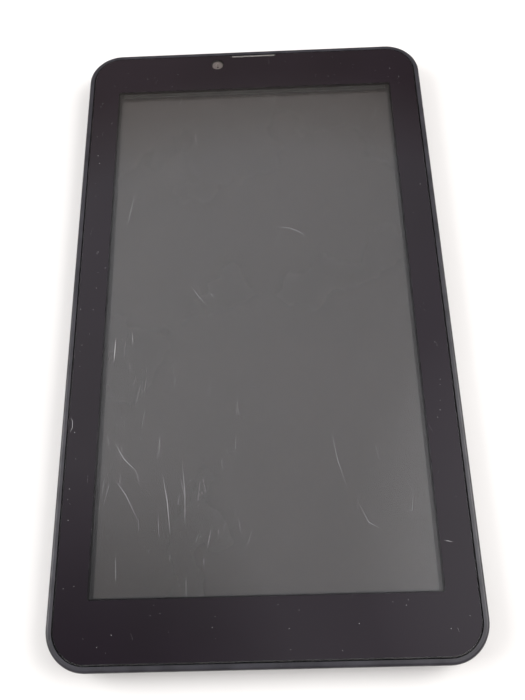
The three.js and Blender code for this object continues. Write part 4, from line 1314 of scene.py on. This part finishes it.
# %% [markdown]
# ## The studio
#
# The tablet lies on a white table under a bright ceiling. Glass shows the room more than itself, so
# the room is drawn in the World: bright overhead, dimmer towards the walls. Two large soft lamps, one
# on each side, whiten the table. The table can't be seen from beneath, and it is clear right under
# the tablet, so that the back of the tablet can be looked at too.

# %% Table
TABLE_HALF = 1.5
TABLE_LEVEL = -0.05 * MM
CONTACT = 0.4 * MM
BAY_DEPTH = 3 * MM
FLAT_INSET = 3.5 * MM
table_top = new_piece("table", bpy.data.meshes.new("table"))
corners = [(-1, -1), (1, -1), (1, 1), (-1, 1)]
table_top.data.from_pydata([
    (x * TABLE_HALF, y * TABLE_HALF, TABLE_LEVEL) for x, y in corners
], [], [(0, 1, 2, 3)])
table_finish = make_finish("table_paint", (0.86, 0.86, 0.85), (0.90, 0.90, 0.89), (0.5, 0.7), 0.8, 0.01,
                           0.01)
tree = table_finish.node_tree
axes = axes_of(tree, place_on(tree))
under_x = calc(tree, "LESS_THAN", calc(tree, "ABSOLUTE", axes["X"]), HALF_WIDTH - FLAT_INSET)
under_y = calc(tree, "LESS_THAN", calc(tree, "ABSOLUTE", axes["Y"]), HALF_LENGTH - FLAT_INSET)
under_back = calc(tree, "MULTIPLY", under_x, under_y)
distance = node(tree, "ShaderNodeLightPath").outputs["Ray Length"]
in_bay = calc(tree, "MULTIPLY", calc(tree, "LESS_THAN", distance, BAY_DEPTH), under_back)
touching = calc(tree, "MAXIMUM", calc(tree, "LESS_THAN", distance, CONTACT), in_bay)
beneath = node(tree, "ShaderNodeNewGeometry").outputs["Backfacing"]
seen = made(tree, "ShaderNodeMixShader", {
    0: calc(tree, "MAXIMUM", beneath, touching), 1: principled(table_finish).outputs[0],
    2: made(tree, "ShaderNodeBsdfTransparent"),
})
tree.links.new(seen, tree.nodes["Material Output"].inputs["Surface"])
table_top.data.materials.append(table_finish)
print("table", round(-TABLE_LEVEL / MM, 2), "mm under the tablet")

# %% [markdown]
# The room's light depends only on the direction it comes from: walls, ceiling and three soft spots.
# The first spot is a shade, where someone leans over the tablet; the others are windows.

# %% Room
WALL_TOP = 0.735
CEILING_START = 0.80
WALL_LIGHT = 0.34
CEILING_LIGHT = 0.78
FLOOR_LIGHT = 1.1
SOFT_SPOTS = [
    ((-0.28, -0.08, 0.957), 17, -0.5),
    ((0.45, 0.10, 0.89), 21, 0.7),
    ((-0.28, 0.45, 0.85), 30, 0.18),
]
world = bpy.data.worlds.new("room")
bpy.context.scene.world = world
world.use_nodes = True
room = world.node_tree
looking = node(room, "ShaderNodeTexCoord").outputs["Generated"]
up = axes_of(room, looking)["Z"]
overhead = spread(room, up, WALL_TOP, CEILING_START)
below = spread(room, up, -0.05, -0.15)


def soft_spot(direction, angle):
    """A mask that is 1 in one direction of the room and fades to 0 over an angle in degrees."""
    towards = node(room, "ShaderNodeVectorMath", {
        0: looking, 1: Vector(direction).normalized(),
    }, operation="DOT_PRODUCT").outputs["Value"]
    return spread(room, towards, math.cos(math.radians(angle)), 1.0)


light = mix_numbers(room, overhead, WALL_LIGHT, CEILING_LIGHT)
light = mix_numbers(room, below, light, FLOOR_LIGHT)
for direction, angle, strength in SOFT_SPOTS:
    added = calc(room, "MULTIPLY", soft_spot(direction, angle), strength)
    light = calc(room, "ADD", light, added)
tint = mix_colours(room, overhead, (1.0, 0.90, 0.85, 1), (0.98, 0.965, 1.0, 1))
background = room.nodes["Background"].inputs
room.links.new(tint, background["Color"])
room.links.new(light, background["Strength"])

# %% [markdown]
# The lamps stand low at both sides, so that they light the table from two directions and the shadow
# under the tablet's edges stays soft.

# %% Lamps
LAMP_SIZE = 0.36
LAMPS = [
    ("right_lamp", (0.38, 0.02, 0.42), 2.3, (1.0, 0.98, 0.96)),
    ("left_lamp", (-0.42, 0.0, 0.38), 2.1, (1.0, 0.99, 0.98)),
]
for name, place, watts, colour in LAMPS:
    data = bpy.data.lights.new(name, "AREA")
    data.size = LAMP_SIZE
    data.energy = watts
    data.color = colour
    source = new_piece(name, data)
    source.location = place
    source.rotation_euler = (-Vector(place)).to_track_quat("-Z", "Y").to_euler()
print(len(LAMPS), "lamps of", LAMP_SIZE, "m")

# %% [markdown]
# ## The camera
#
# The camera is held by hand above the near half of the tablet, a little to the right, and tipped so
# that it looks down and forward. A wide lens so close is what makes the near end look larger.

# %% Camera
CAMERA_PLACE = Vector((4.9, -85.5, 194.6)) * MM
TIP = math.radians(90 - 68.5)
HEADING = math.radians(3.27)
ROLL = math.radians(-4.89)
camera_data = bpy.data.cameras.new("camera")
camera_data.lens = 36.8
camera_data.sensor_width = 36
camera_data.clip_start = 0.01
camera = new_piece("camera", camera_data)
turn = Euler((TIP, 0, HEADING)).to_matrix() @ Matrix.Rotation(ROLL, 3, "Z")
camera.matrix_world = Matrix.Translation(CAMERA_PLACE) @ turn.to_4x4()
bpy.context.scene.camera = camera
bpy.context.scene.view_settings.view_transform = "Standard"
print("camera", round(CAMERA_PLACE.z / MM), "mm above the table")
